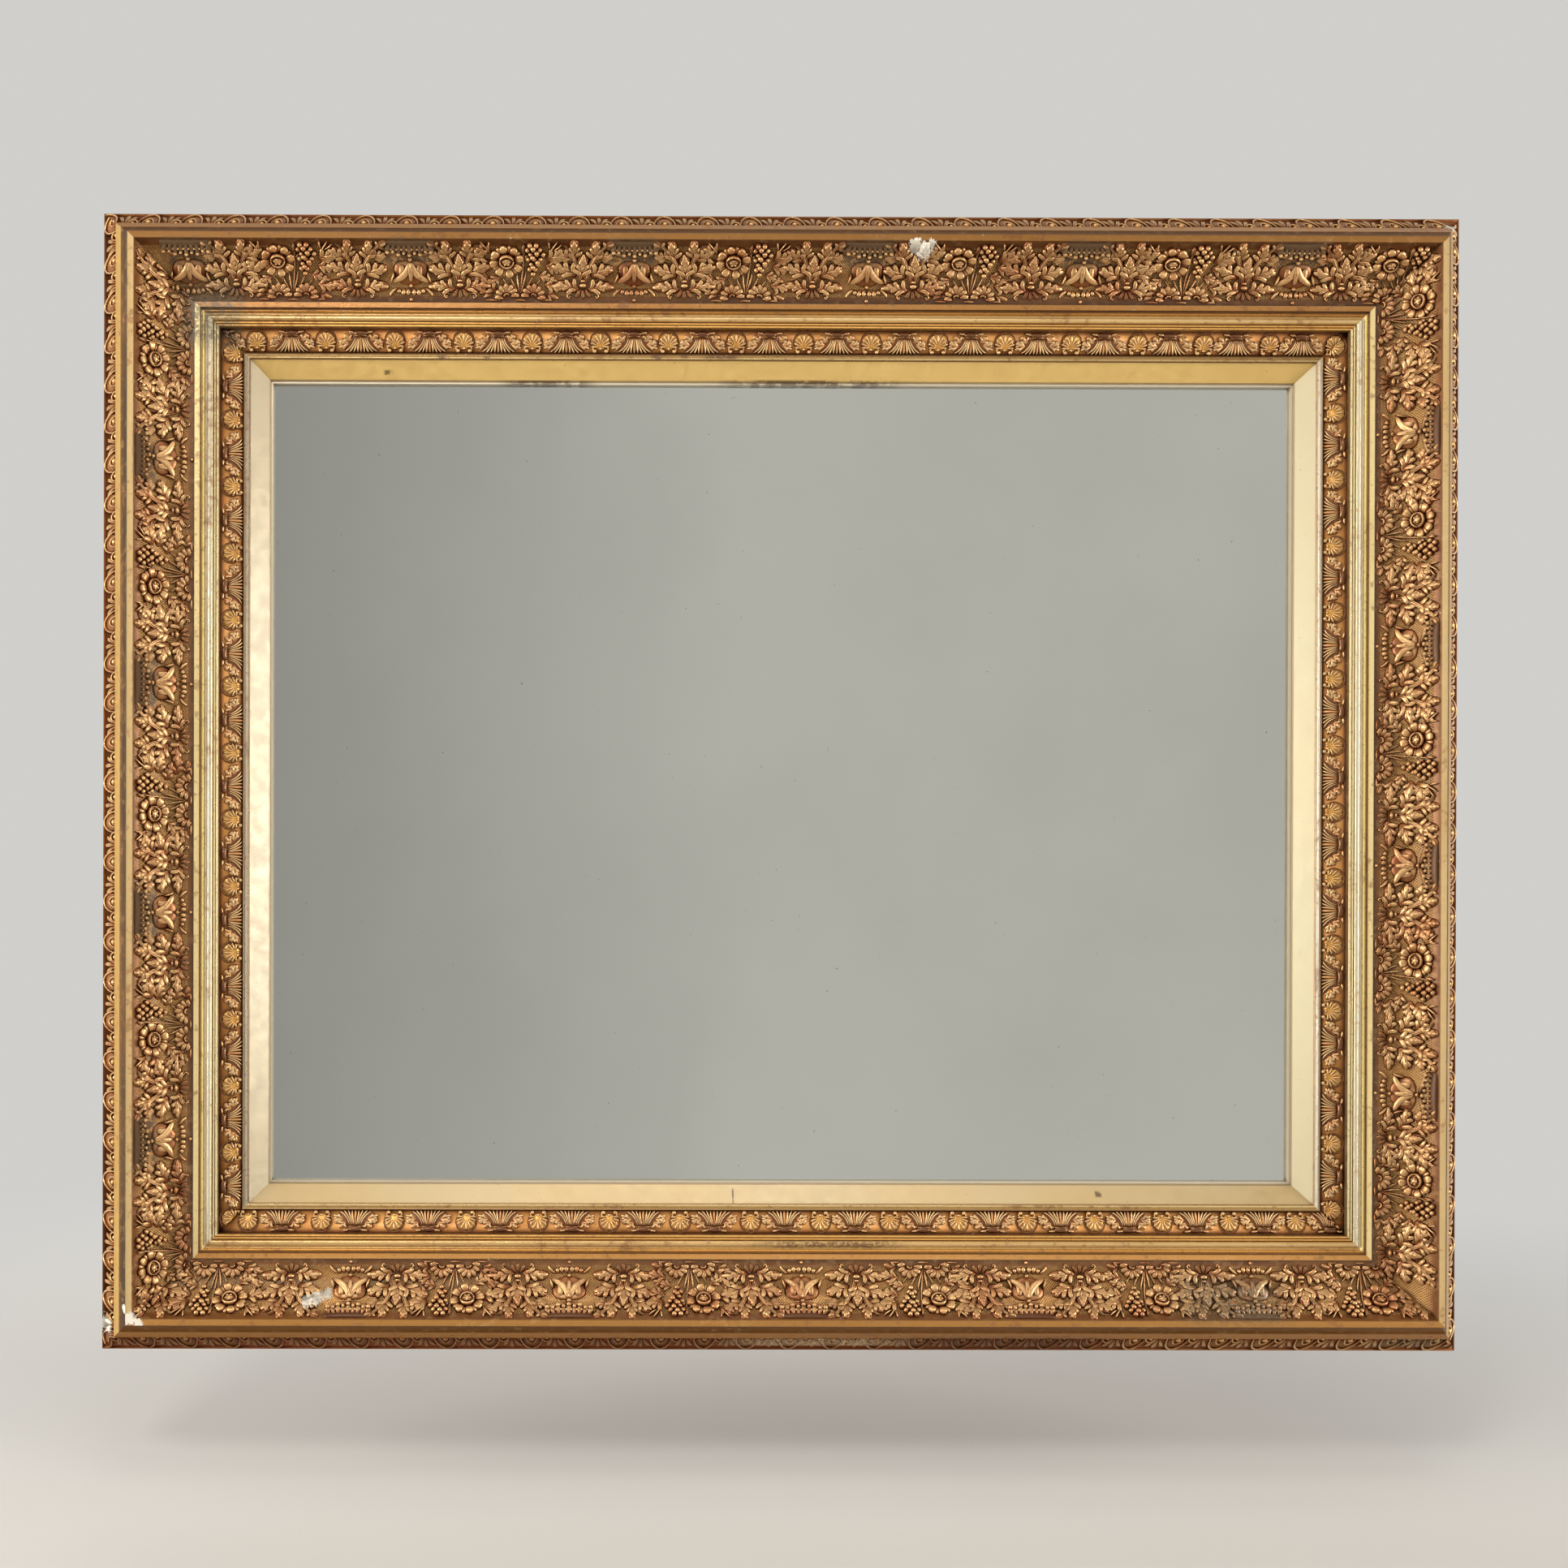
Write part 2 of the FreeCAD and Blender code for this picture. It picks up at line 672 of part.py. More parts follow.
def hanger_strap(name, sign):
    """A strap with a rolled eye, screwed to the back of the top rail."""
    body = new_body(f"hanger_strap_{name}")
    outer = "(Sizes.ring_wire / 2 + Sizes.fit_clearance + Sizes.eye_wall)"
    plate = new_sketch(body, "YZ_Plane", "plate")
    draw(plate, corners("0", "Sizes.strap_thickness", "-Sizes.strap_length", "0"))
    pad(body, plate, "Sizes.strap_width", both_ways=True)
    eye = new_sketch(body, "YZ_Plane", "eye")
    draw_circles(eye, [(outer, "0")], outer)
    pad(body, eye, "Sizes.strap_width", both_ways=True)
    bore = new_sketch(body, "YZ_Plane", "bore")
    draw_circles(bore, [(outer, "0")], "Sizes.ring_wire / 2 + Sizes.fit_clearance")
    pocket(body, bore, "2 * Sizes.strap_width", both_ways=True)
    holes = new_sketch(body, "XZ_Plane", "screw_holes")
    first = "-Sizes.hanger_screw_first"
    places = [("0", first), ("0", f"{first} - Sizes.hanger_screw_pitch")]
    draw_circles(holes, places, "Sizes.hanger_screw_radius + Sizes.fit_clearance")
    pocket(body, holes, "4 * Sizes.strap_thickness", both_ways=True)
    body.setExpression("Placement.Base.x", f"{sign} * Sizes.hanger_spacing / 2")
    body.setExpression("Placement.Base.z", hanger_height())
    return body


def hanger_ring(name, sign):
    """A D-shaped ring of round wire, with its straight bar in the eye and its bow hanging."""
    wire = size("ring_wire")
    bar_half = size("ring_bar") / 2
    corner = size("ring_corner")
    bow = bar_half + corner
    side_end = -(corner + size("ring_side"))
    slant = corner * (1 - math.sqrt(0.5))
    middle = Vector(0, 0, 0)
    right = [Vector(bar_half, 0, 0), Vector(bow - slant, 0, -slant), Vector(bow, 0, -corner)]
    left = [Vector(-point.x, 0, point.z) for point in reversed(right)]
    bow_right, bow_left = Vector(bow, 0, side_end), Vector(-bow, 0, side_end)
    path = Part.Wire([
        Part.makeLine(middle, right[0]),
        Part.Arc(*right).toShape(),
        Part.makeLine(right[2], bow_right),
        Part.Arc(bow_right, Vector(0, 0, side_end - bow), bow_left).toShape(),
        Part.makeLine(bow_left, left[0]),
        Part.Arc(*left).toShape(),
        Part.makeLine(left[2], middle),
    ])
    circle = Part.Wire(Part.makeCircle(wire / 2, Vector(0, 0, 0), Vector(1, 0, 0)))
    ring = feature(f"hanger_ring_{name}", path.makePipeShell([circle], True, False))
    hinge = wire / 2 + size("fit_clearance") + size("eye_wall")
    place = Vector(sign * size("hanger_spacing") / 2, hinge, value(hanger_height()))
    ring.Placement = Placement(place, Rotation())
    return ring


def flat(points):
    """A flat face through the points."""
    return Part.Face(Part.makePolygon(points + points[:1]))


def mitred_bar(side, outline):
    """A bar of the given section, (in, depth) numbers, from mitre to mitre."""
    half_length = size(rail_length(side)) / 2
    left = [point_at(side, inwards - half_length, inwards, depth) for inwards, depth in outline]
    right = [point_at(side, half_length - inwards, inwards, depth) for inwards, depth in outline]
    faces = [flat(left), flat(right)]
    for index in range(len(outline)):
        faces.append(flat([left[index - 1], left[index], right[index], right[index - 1]]))
    made = Part.makeSolid(Part.makeShell(faces))
    if made.Volume < 0:
        made.reverse()
    return made


def leaf_edge(side):
    """The strip of running arches and darts on the outward slope."""
    base, rise, run = size("leaf_base"), size("leaf_rise"), size("leaf_in")
    relief, strip = size("leaf_relief"), size("leaf_strip_width")
    back = relief + strip
    outline = [(relief, base), (back, base), (run + back, base + rise), (run + relief, base + rise)]
    ground = mitred_bar(side, outline)
    radius, pitch, dart = size("arch_radius"), size("arch_pitch"), size("arch_dart")
    slope = math.hypot(run, rise)
    count = int((size(rail_length(side)) - 2 * (run + relief)) // pitch)

    def on_slope(along, down):
        share = (slope - down) / slope
        return point_at(side, along, relief + run * share, base + rise * share)

    top = slope - radius
    left = -count * pitch / 2
    edges = [
        Part.makeLine(on_slope(-left, 0), on_slope(left, 0)),
        Part.makeLine(on_slope(left, 0), on_slope(left, top)),
    ]
    here = on_slope(left, top)
    for number in range(count):
        middle = left + (number + 0.5) * pitch
        springing = on_slope(middle - radius, top)
        crown = on_slope(middle, slope)
        landing = on_slope(middle + radius, top)
        tip = on_slope(middle + pitch / 2, top + dart)
        edges.append(Part.makeLine(here, springing))
        edges.append(Part.Arc(springing, crown, landing).toShape())
        here = tip if number < count - 1 else on_slope(-left, top)
        edges.append(Part.makeLine(landing, here))
    edges.append(Part.makeLine(here, on_slope(-left, 0)))
    apron = Part.Face(Part.Wire(edges)).extrude(Vector(0, 0, relief))
    made = feature(f"leaf_edge_{side}", ground.fuse(apron).removeSplitter())
    made.Placement = turned(side)
    return made


def frieze_slope():
    """The two ends, (in, depth), of the frieze strip's face."""
    raised = size("frieze_strip_depth")
    outer = (value(FRIEZE_OUT), value(BED_OUT_LEVEL) + raised)
    inner = (value(FRIEZE_IN), value(BED_IN_LEVEL) + raised)
    return outer, inner


def shell_frieze(side):
    """The strip of fan shells and leaf sprays in its bed."""
    outer, inner = frieze_slope()
    raised = size("frieze_strip_depth")
    ground = mitred_bar(side, [(outer[0], outer[1] - raised), outer, inner, (inner[0], inner[1] - raised)])
    width = inner[0] - outer[0]
    drop = outer[1] - inner[1]
    up = Vector(0, -width, drop).normalize()
    pitch = size("shell_pitch")
    clear = size(rail_length(side)) - 2 * inner[0]
    count = int(clear // pitch)
    radius = size("shell_radius")

    def on_slope(along, share):
        return point_at(side, along, outer[0] + share * width, outer[1] - share * drop)

    pieces = [ground]
    for number in range(count):
        middle = (number - (count - 1) / 2) * pitch
        foot = MIDDLE_SHARE + radius / width / 2
        crown = foot - radius / width
        left, right = on_slope(middle - radius, foot), on_slope(middle + radius, foot)
        rim = Part.Arc(left, on_slope(middle, crown), right).toShape()
        fan = Part.Wire([rim, Part.makeLine(right, left)])
        pieces.append(Part.Face(fan).extrude(up * size("shell_relief")))
        if number < count - 1:
            centre = middle + pitch / 2
            reach, half = size("spray_length") / 2, size("spray_width") / width / 2
            tips = on_slope(centre - reach, MIDDLE_SHARE), on_slope(centre + reach, MIDDLE_SHARE)
            bud = Part.Wire([
                Part.Arc(tips[0], on_slope(centre, MIDDLE_SHARE - half), tips[1]).toShape(),
                Part.Arc(tips[1], on_slope(centre, MIDDLE_SHARE + half), tips[0]).toShape(),
            ])
            pieces.append(Part.Face(bud).extrude(up * size("spray_relief")))
    made = feature(f"shell_frieze_{side}", pieces[0].fuse(pieces[1:]).removeSplitter())
    made.Placement = turned(side)
    return made


def beyond_mitres(side):
    """The two wedges outside a rail's mitres."""
    end = size(rail_length(side)) / 2
    reach = value(SIGHT)
    wedges = []
    for sign in (-1, 1):
        plan = flat([
            point_at(side, sign * (end + reach), -reach, 0),
            point_at(side, sign * (end + reach), reach, 0),
            point_at(side, sign * (end - reach), reach, 0),
        ])
        wedges.append(plan.extrude(Vector(0, -2 * value(CREST_LEVEL), 0)))
    return Part.makeCompound(wedges)


def cove_band(side, relief):
    """The space from the cove's face out to an even relief, from mitre to mitre."""
    out, back = value(CREST_IN), value(COVE_END)
    top, low = value(CREST_LEVEL), value(COVE_LEVEL)
    run, fall = back - out, top - low
    chord = math.hypot(run, fall)
    sag = size("cove_sag")
    radius = (chord ** 2 / 4 + sag ** 2) / (2 * sag)
    normal = Vector(fall / chord, run / chord, 0)
    middle = Vector((out + back) / 2, (top + low) / 2, 0)
    centre = middle + normal * (radius - sag)
    first = Vector(out, top, 0) - centre
    last = Vector(back, low, 0) - centre
    start = -size(rail_length(side)) / 2

    def ring(reach):
        points = [centre + spoke.normalize() * reach for spoke in (Vector(first), normal * -1, Vector(last))]
        return [point_at(side, start, point.x, point.y) for point in points]

    wood, face = ring(radius), ring(radius - relief)
    section = Part.Wire([
        Part.Arc(*wood).toShape(),
        Part.makeLine(wood[2], face[2]),
        Part.Arc(*reversed(face)).toShape(),
        Part.makeLine(face[0], wood[0]),
    ])
    whole = Part.Face(section).extrude(Vector(size(rail_length(side)), 0, 0))
    return whole.cut(beyond_mitres(side))


def plan_of(outer, *holes):
    """A plan outline, less its holes, drawn from the wall plane through the whole depth of the frame."""
    face = Part.Face(Part.Wire(outer))
    for hole in holes:
        face = face.cut(Part.Face(Part.Wire(hole)))
    return face.extrude(Vector(0, -2 * value(CREST_LEVEL), 0))


def across_cove(share):
    """A place across the cove."""
    return value(CREST_IN) + share * size("cove_in")


def circle_at(side, along, inwards, radius):
    """A circle in plan."""
    return [Part.makeCircle(radius, point_at(side, along, inwards, 0), Y_AXIS)]


def frond_plan(side, along, lean):
    """A tall leaf that leans along the rail."""
    half, wide = size("frond_length") / 2, size("frond_width") / 2
    centre = point_at(side, along, across_cove(FROND_ACROSS_SHARE), 0)
    tilt = math.radians(lean)
    stem = Vector(math.sin(tilt), 0, math.cos(tilt))
    beside = Vector(stem.z, 0, -stem.x)
    tip, foot = centre + stem * half, centre - stem * half
    return plan_of([
        Part.Arc(foot, centre + beside * wide, tip).toShape(),
        Part.Arc(tip, centre - beside * wide, foot).toShape(),
    ])


def lappet_plan(side, along):
    """The scalloped lappet, a shallow bow near the crest."""
    half, wide = size("lappet_length") / 2, size("lappet_width") / 2
    inwards = across_cove(LAPPET_ACROSS_SHARE)
    left, right = point_at(side, along - half, inwards, 0), point_at(side, along + half, inwards, 0)
    return plan_of([
        Part.Arc(left, point_at(side, along, inwards - wide, 0), right).toShape(),
        Part.Arc(right, point_at(side, along, inwards + wide, 0), left).toShape(),
    ])


def cove_ornament(side):
    """The castings of one rail, each seated on the curve of the cove."""
    length = size(rail_length(side))
    sense = -1 if side in ("right", "bottom") else 1
    plans = {kind: [] for kind in ("flower", "button", "grape", "palmette", "lappet", "frond")}
    flower_row = across_cove(FLOWER_ACROSS_SHARE)
    reach = size("flower_radius") + size("button_radius") + size("grape_radius")
    for share in FLOWER_SHARES[side]:
        along = sense * share * length
        petals = circle_at(side, along, flower_row, size("flower_radius"))
        button = circle_at(side, along, flower_row, size("button_radius"))
        grapes = circle_at(side, along + reach, across_cove(GRAPE_ACROSS_SHARE), size("grape_radius"))
        plans["flower"].append(plan_of(petals, button))
        plans["button"].append(plan_of(button))
        plans["grape"].append(plan_of(grapes))
    for share in PALMETTE_SHARES[side]:
        along = sense * share * length
        heart = circle_at(side, along, across_cove(PALMETTE_ACROSS_SHARE), size("palmette_radius"))
        plans["palmette"].append(plan_of(heart))
        plans["lappet"].append(lappet_plan(side, along))
        for way in (-1, 1):
            apart = along + way * (size("lappet_length") + size("frond_width")) / 2
            plans["frond"].append(frond_plan(side, apart, way * FROND_LEAN))
    castings = []
    for kind, shapes in plans.items():
        castings += Part.makeCompound(shapes).common(cove_band(side, size(kind + "_relief"))).Solids
    made = feature(f"cove_ornament_{side}", Part.makeCompound(castings))
    made.Placement = turned(side)
    return made


def build():
    """Makes every piece of the mirror."""
    pieces = []
    for side in SIDES:
        pieces.append(back_rail(side))
        pieces.append(mitred_rail(f"cove_rail_{side}", side, cove_outline()))
        pieces.append(mitred_rail(f"inner_moulding_{side}", side, inner_outline()))
        pieces.append(mitred_rail(f"sight_slip_{side}", side, slip_outline()))
        pieces.append(leaf_edge(side))
        pieces.append(shell_frieze(side))
        pieces.append(cove_ornament(side))
    pieces.append(mirror_glass())
    pieces.append(glass_blocks())
    pieces += [backboard(number) for number in range(1, BOARD_COUNT + 1)]
    pieces += [lap_screws(), board_nails(), hanger_screws()]
    for name, sign in (("left", -1), ("right", 1)):
        pieces.append(hanger_strap(name, sign))
        pieces.append(hanger_ring(name, sign))
    document.recompute()
    return pieces


def check(pieces):
    """Stops at any object that failed, before anything is written."""
    for item in document.Objects:
        if "Invalid" in item.State or "Error" in item.State:
            raise RuntimeError(f"{item.Label} failed: {item.State}")
    for piece in pieces:
        if piece.Shape.isNull() or not piece.Shape.isValid() or not piece.Shape.Solids:
            raise RuntimeError(f"{piece.Label} is not a valid solid")


def write(pieces):
    """Writes one STEP file for each piece."""
    os.makedirs("parts", exist_ok=True)
    for piece in pieces:
        piece.Shape.exportStep(f"parts/{piece.Label}.step")
        print(piece.Label, len(piece.Shape.Solids), "solids", round(piece.Shape.Volume / 1000, 1), "cm3")


made_pieces = build()
check(made_pieces)
write(made_pieces)
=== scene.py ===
"""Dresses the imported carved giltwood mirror: castings, leaf edges, shell friezes and finishes."""

import math
import random

import bmesh
import bpy
import numpy as np
from mathutils import Matrix, Vector


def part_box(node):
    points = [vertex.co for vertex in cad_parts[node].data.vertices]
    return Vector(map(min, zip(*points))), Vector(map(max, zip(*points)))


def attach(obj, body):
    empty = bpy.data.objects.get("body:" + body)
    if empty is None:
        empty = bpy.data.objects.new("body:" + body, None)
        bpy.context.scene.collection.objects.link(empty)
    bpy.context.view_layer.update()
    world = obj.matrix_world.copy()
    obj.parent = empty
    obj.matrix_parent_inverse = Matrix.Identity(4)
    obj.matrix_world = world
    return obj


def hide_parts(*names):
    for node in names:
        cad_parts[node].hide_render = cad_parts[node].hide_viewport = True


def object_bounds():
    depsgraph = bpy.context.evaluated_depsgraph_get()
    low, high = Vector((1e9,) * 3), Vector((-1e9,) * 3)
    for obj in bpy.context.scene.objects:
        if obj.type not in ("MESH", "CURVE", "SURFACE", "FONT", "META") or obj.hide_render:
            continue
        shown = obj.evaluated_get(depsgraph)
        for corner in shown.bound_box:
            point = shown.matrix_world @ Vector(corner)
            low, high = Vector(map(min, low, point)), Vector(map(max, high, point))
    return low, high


bl_info = {
    "name": "Carved giltwood mirror",
    "version": (1, 0, 0),
    "blender": (4, 5, 0),
    "location": "3D View > Sidebar > Mirror",
    "description": "Castings, leaf edges, shell friezes and finishes for a carved giltwood mirror",
    "category": "Object",
}

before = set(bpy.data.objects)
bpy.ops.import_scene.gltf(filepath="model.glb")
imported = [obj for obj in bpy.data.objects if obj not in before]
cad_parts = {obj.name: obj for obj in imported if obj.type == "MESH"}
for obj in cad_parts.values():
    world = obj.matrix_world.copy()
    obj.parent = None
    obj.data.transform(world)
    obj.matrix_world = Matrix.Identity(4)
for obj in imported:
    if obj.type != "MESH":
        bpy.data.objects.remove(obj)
CAD_LOW, CAD_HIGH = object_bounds()

MM = 0.001
# How far the leaf edges reach past the cove rails, and how wide a whole rail is in millimetres.
OVERHANG = 8 * MM
RAIL_WIDTH = 163
HALF_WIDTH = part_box("cove_rail_right")[1].x + OVERHANG
HALF_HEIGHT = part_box("cove_rail_top")[1].z + OVERHANG
SIDES = {"top": 0, "right": 90, "bottom": 180, "left": 270}
SEED = 11

# Where the castings stand along each rail, as shares of its length, from left to right on the top and
# bottom rails and upwards on the left and right ones.
FLOWER_SHARES = {
    "top": (-0.366, -0.202, -0.039, 0.123, 0.277, 0.434),
    "bottom": (-0.399, -0.228, -0.058, 0.111, 0.272, 0.429),
    "left": (-0.419, -0.223, -0.029, 0.166, 0.360),
    "right": (-0.342, -0.153, 0.037, 0.226, 0.414),
}
PALMETTE_SHARES = {
    "top": (-0.430, -0.271, -0.110, 0.058, 0.213, 0.367),
    "bottom": (-0.313, -0.155, 0.013, 0.176, 0.339),
    "left": (-0.310, -0.114, 0.083, 0.277),
    "right": (-0.268, -0.071, 0.119, 0.302),
}
# How the arches of the leaf edge and the shells of the frieze run along each rail: where one of them
# stands in millimetres from its middle, its pitch as a share, and how much each step grows.
LEAF_RUNS = {
    "top": (8.5, 1.0, 0.0), "right": (-426.0, 0.967, 0.0), "bottom": (523.5, 1.005, 0.0),
    "left": (339.5, 0.93, 0.0),
}
SHELL_RUNS = {
    "top": (-303.9, 1.007, -0.106), "right": (-351.9, 0.9775, 0.0), "bottom": (506.2, 1.0785, 0.218),
    "left": (341.9, 0.9775, 0.0),
}
# How sooty the hanging lappets of each rail are.
SOOT_SHARES = {"top": 0.95, "left": 0.9, "right": 0.45, "bottom": 0.15}

# The camera that took the photograph, as fitted to the frame's corners and mouldings: the width of the
# picture, the focal length and the point straight ahead in pixels, its yaw, pitch and roll in degrees, and
# its place in metres.
PHOTO_PIXELS = 1932
FOCAL_PIXELS = 2513.3
STRAIGHT_AHEAD = (741.5, 1079.3)
CAMERA_TURNS = (-0.266, -0.211, 0.154)
CAMERA_PLACE = (-0.1808, -1.993, -0.0818)
SENSOR_WIDTH = 36.0
# The lamps, which all face the middle of the frame: name, place and size in metres, power in watts, colour.
LAMPS = (
    ("lamp_left", (-3.0, -1.0, 0.1), 1.5, 88, (1.0, 0.96, 0.88)),
    ("lamp_right", (3.1, -1.1, 0.1), 1.5, 88, (1.0, 0.96, 0.88)),
    ("lamp_over", (0.1, -1.3, 2.5), 1.2, 12, (1.0, 0.97, 0.93)),
    ("lamp_key", (-0.9, -2.5, 1.7), 0.6, 26, (1.0, 0.95, 0.88)),
    ("lamp_back", (-0.9, 2.6, 0.6), 1.5, 32, (1.0, 0.97, 0.93)),
)
FLOOR_DROP = 0.12
FLOOR_REACH = 9.0
# Greys of the surroundings from left to right, as the glass and the gilding mirror them.
ROOM_TONES = (
    (0.27, (192, 190, 186)), (0.375, (163, 162, 158)), (0.535, (226, 225, 220)), (0.75, (222, 220, 215)),
)
# The float layers that the castings carry for their gilding; relief and crest also set where highlights and
# shade are painted.
CARVED_LAYERS = ("relief", "crest", "soot", "blush")


def tone(red, green, blue):
    """A colour as it looks on a screen, from 0 to 255, as Blender's own linear values."""
    shares = [c / 255 for c in (red, green, blue)]
    linear = [c / 12.92 if c < 0.04045 else ((c + 0.055) / 1.055) ** 2.4 for c in shares]
    return (*linear, 1.0)


def length(name, default, description):
    return bpy.props.FloatProperty(
        name=name, description=description, default=default, min=0.0, subtype="DISTANCE", unit="LENGTH"
    )


def colour(name, shade, description):
    return bpy.props.FloatVectorProperty(
        name=name, description=description, default=tone(*shade), size=4, min=0.0, max=1.0, subtype="COLOR"
    )


class MirrorSizes(bpy.types.PropertyGroup):
    """Sizes of the ornament that a gilder would choose."""

    leaf_pitch: length("Leaf pitch", 40.7 * MM, "Distance from one arch of the leaf edge to the next")
    leaf_relief: length("Leaf relief", 2.2 * MM, "How far the leaf edge stands off its strip")
    shell_pitch: length("Shell pitch", 64.5 * MM, "Distance from one shell of the frieze to the next")
    shell_relief: length("Shell relief", 2.4 * MM, "How far the shells stand off their strip")
    casting_relief: length("Casting relief", 7.0 * MM, "How far the castings stand off the cove")
    diaper_pitch: length("Diaper pitch", 1.7 * MM, "Distance between the lines of the cove's hatched ground")


class MirrorColours(bpy.types.PropertyGroup):
    """Colours of the finishes."""

    gold: colour("Gold", (220, 164, 80), "Gilding of the ornament where it is clean")
    aged: colour("Aged gold", (138, 82, 38), "Browned gilding of the cove")
    rubbed: colour("Rubbed gold", (248, 212, 150), "Gilding on the rubbed mouldings")
    # Bole also darkens the castings' hollows, as painted shade.
    bole_and_shade: colour("Bole", (112, 54, 22), "Red-brown clay under the gold")
    # Grime also serves as painted shade in the castings' hollows, besides dirt.
    dirt_and_shade: colour("Grime", (48, 25, 10), "Dirt in the hollows")
    soot: colour("Soot", (90, 70, 50), "Grey-brown soot on the lappets")
    gesso: colour("Gesso", (226, 219, 205), "White ground where the gold is lost")
    slip: colour("Slip gold", (202, 180, 138), "Burnished gold of the sight slip")
    pine: colour("Pine", (176, 132, 84), "Raw pine of the back rails")
    boards: colour("Back boards", (146, 108, 72), "Darker pine of the back boards")
    floor: colour("Floor", (214, 212, 208), "Plain pale floor")


def sizes():
    return bpy.context.scene.mirror_sizes


def colours():
    return bpy.context.scene.mirror_colours


BACKGROUND = tone(208, 207, 204)


# Ground surfaces of the section. In is counted from the frame's outer edge, depth from the wall.


class Slope:
    """A flat ground that runs from its foot to its head, with its relief away from the wall."""

    def __init__(self, foot, head):
        self.foot = np.array(foot)
        run = np.array(head) - self.foot
        self.run = run / np.linalg.norm(run)
        normal = np.array((-self.run[1], self.run[0]))
        self.normal = normal if normal[1] > 0 else -normal

    def points(self, across, relief):
        return self.foot + across[:, None] * self.run + relief[:, None] * self.normal


class Cove:
    """The hollow ground of the castings, counted outwards from its inner edge."""

    def __init__(self, crest, inner, sag):
        crest, inner = np.array(crest), np.array(inner)
        chord = inner - crest
        half = np.linalg.norm(chord) / 2
        self.radius = (half * half + sag * sag) / (2 * sag)
        normal = np.array((-chord[1], chord[0])) / (2 * half)
        self.centre = (crest + inner) / 2 + normal * (self.radius - sag)
        arm = inner - self.centre
        self.start = math.atan2(arm[1], arm[0])

    def points(self, across, relief):
        angle = self.start - across / self.radius
        arm = self.radius - relief
        return self.centre + arm[:, None] * np.stack((np.cos(angle), np.sin(angle)), axis=1)


LEAF_GROUND = Slope((2.0, 34.0), (20.0, 65.0))
COVE_GROUND = Cove((44.0, 105.0), (94.0, 71.0), 9.0)
FRIEZE_GROUND = Slope((138.0, 55.0), (116.5, 62.0))
LEAF_STRIP = ((0.3, 34.0), (8.0, 34.0), (26.0, 65.0), (20.0, 65.0), (3.2, 36.1), (1.2, 36.6), (0.3, 35.6))
FRIEZE_STRIP = ((116.5, 59.0), (116.5, 62.0), (138.0, 55.0), (138.0, 52.0))
# How near a crest the corners of the bare strips' sections count, which sets the highlight and shade painted
# on them.
LEAF_CRESTS = (0.0, 0.0, 0.1, 0.1, 0.1, 0.3, 0.1)
FRIEZE_CRESTS = (0.72, 0.72, 0.3, 0.3)


def half_across(side):
    """Half the frame's size across a rail and half the rail's own length, in millimetres."""
    tall, wide = HALF_HEIGHT / MM, HALF_WIDTH / MM
    return (tall, wide) if side in ("top", "bottom") else (wide, tall)


def turned(side, along, section):
    """Points of a rail's own layout, in metres in the frame's space."""
    across, _ = half_across(side)
    angle = math.radians(SIDES[side])
    out = across - section[:, 0]
    placed = np.empty((len(along), 3))
    placed[:, 0] = along * math.cos(angle) + out * math.sin(angle)
    placed[:, 1] = -section[:, 1]
    placed[:, 2] = -along * math.sin(angle) + out * math.cos(angle)
    return placed * MM


# Carver's shapes. Each is drawn flat in millimetres, x along the rail and y across it, with its
# relief as z, and is laid on its ground afterwards.


def curve(base, tip, bend=0.0):
    """A spine from base to tip that bows sideways by a share of its length."""
    base, tip = Vector(base), Vector(tip)
    side = Vector((base.y - tip.y, tip.x - base.x))
    middle = (base + tip) / 2 + side * bend

    def at(share):
        rest = 1 - share
        return base * rest * rest + middle * (2 * rest * share) + tip * share * share

    return at


def scroll(centre, start, end, first, last):
    """A spine that winds round centre from angle start to end, from one radius to another."""
    centre = Vector(centre)

    def at(share):
        angle = math.radians(start + (end - start) * share)
        radius = first + (last - first) * share
        return centre + Vector((math.cos(angle), math.sin(angle))) * radius

    return at


def toward(angle):
    """A unit step at an angle in degrees, counted from the rail's own direction."""
    return Vector((math.cos(math.radians(angle)), math.sin(math.radians(angle))))


def beside(side, base, tip, bend=0.0):
    """A spine given for the right half of a shape, on the right for a side of 1 or on the left for -1."""
    return curve((side * base[0], base[1]), (side * tip[0], tip[1]), bend * side)


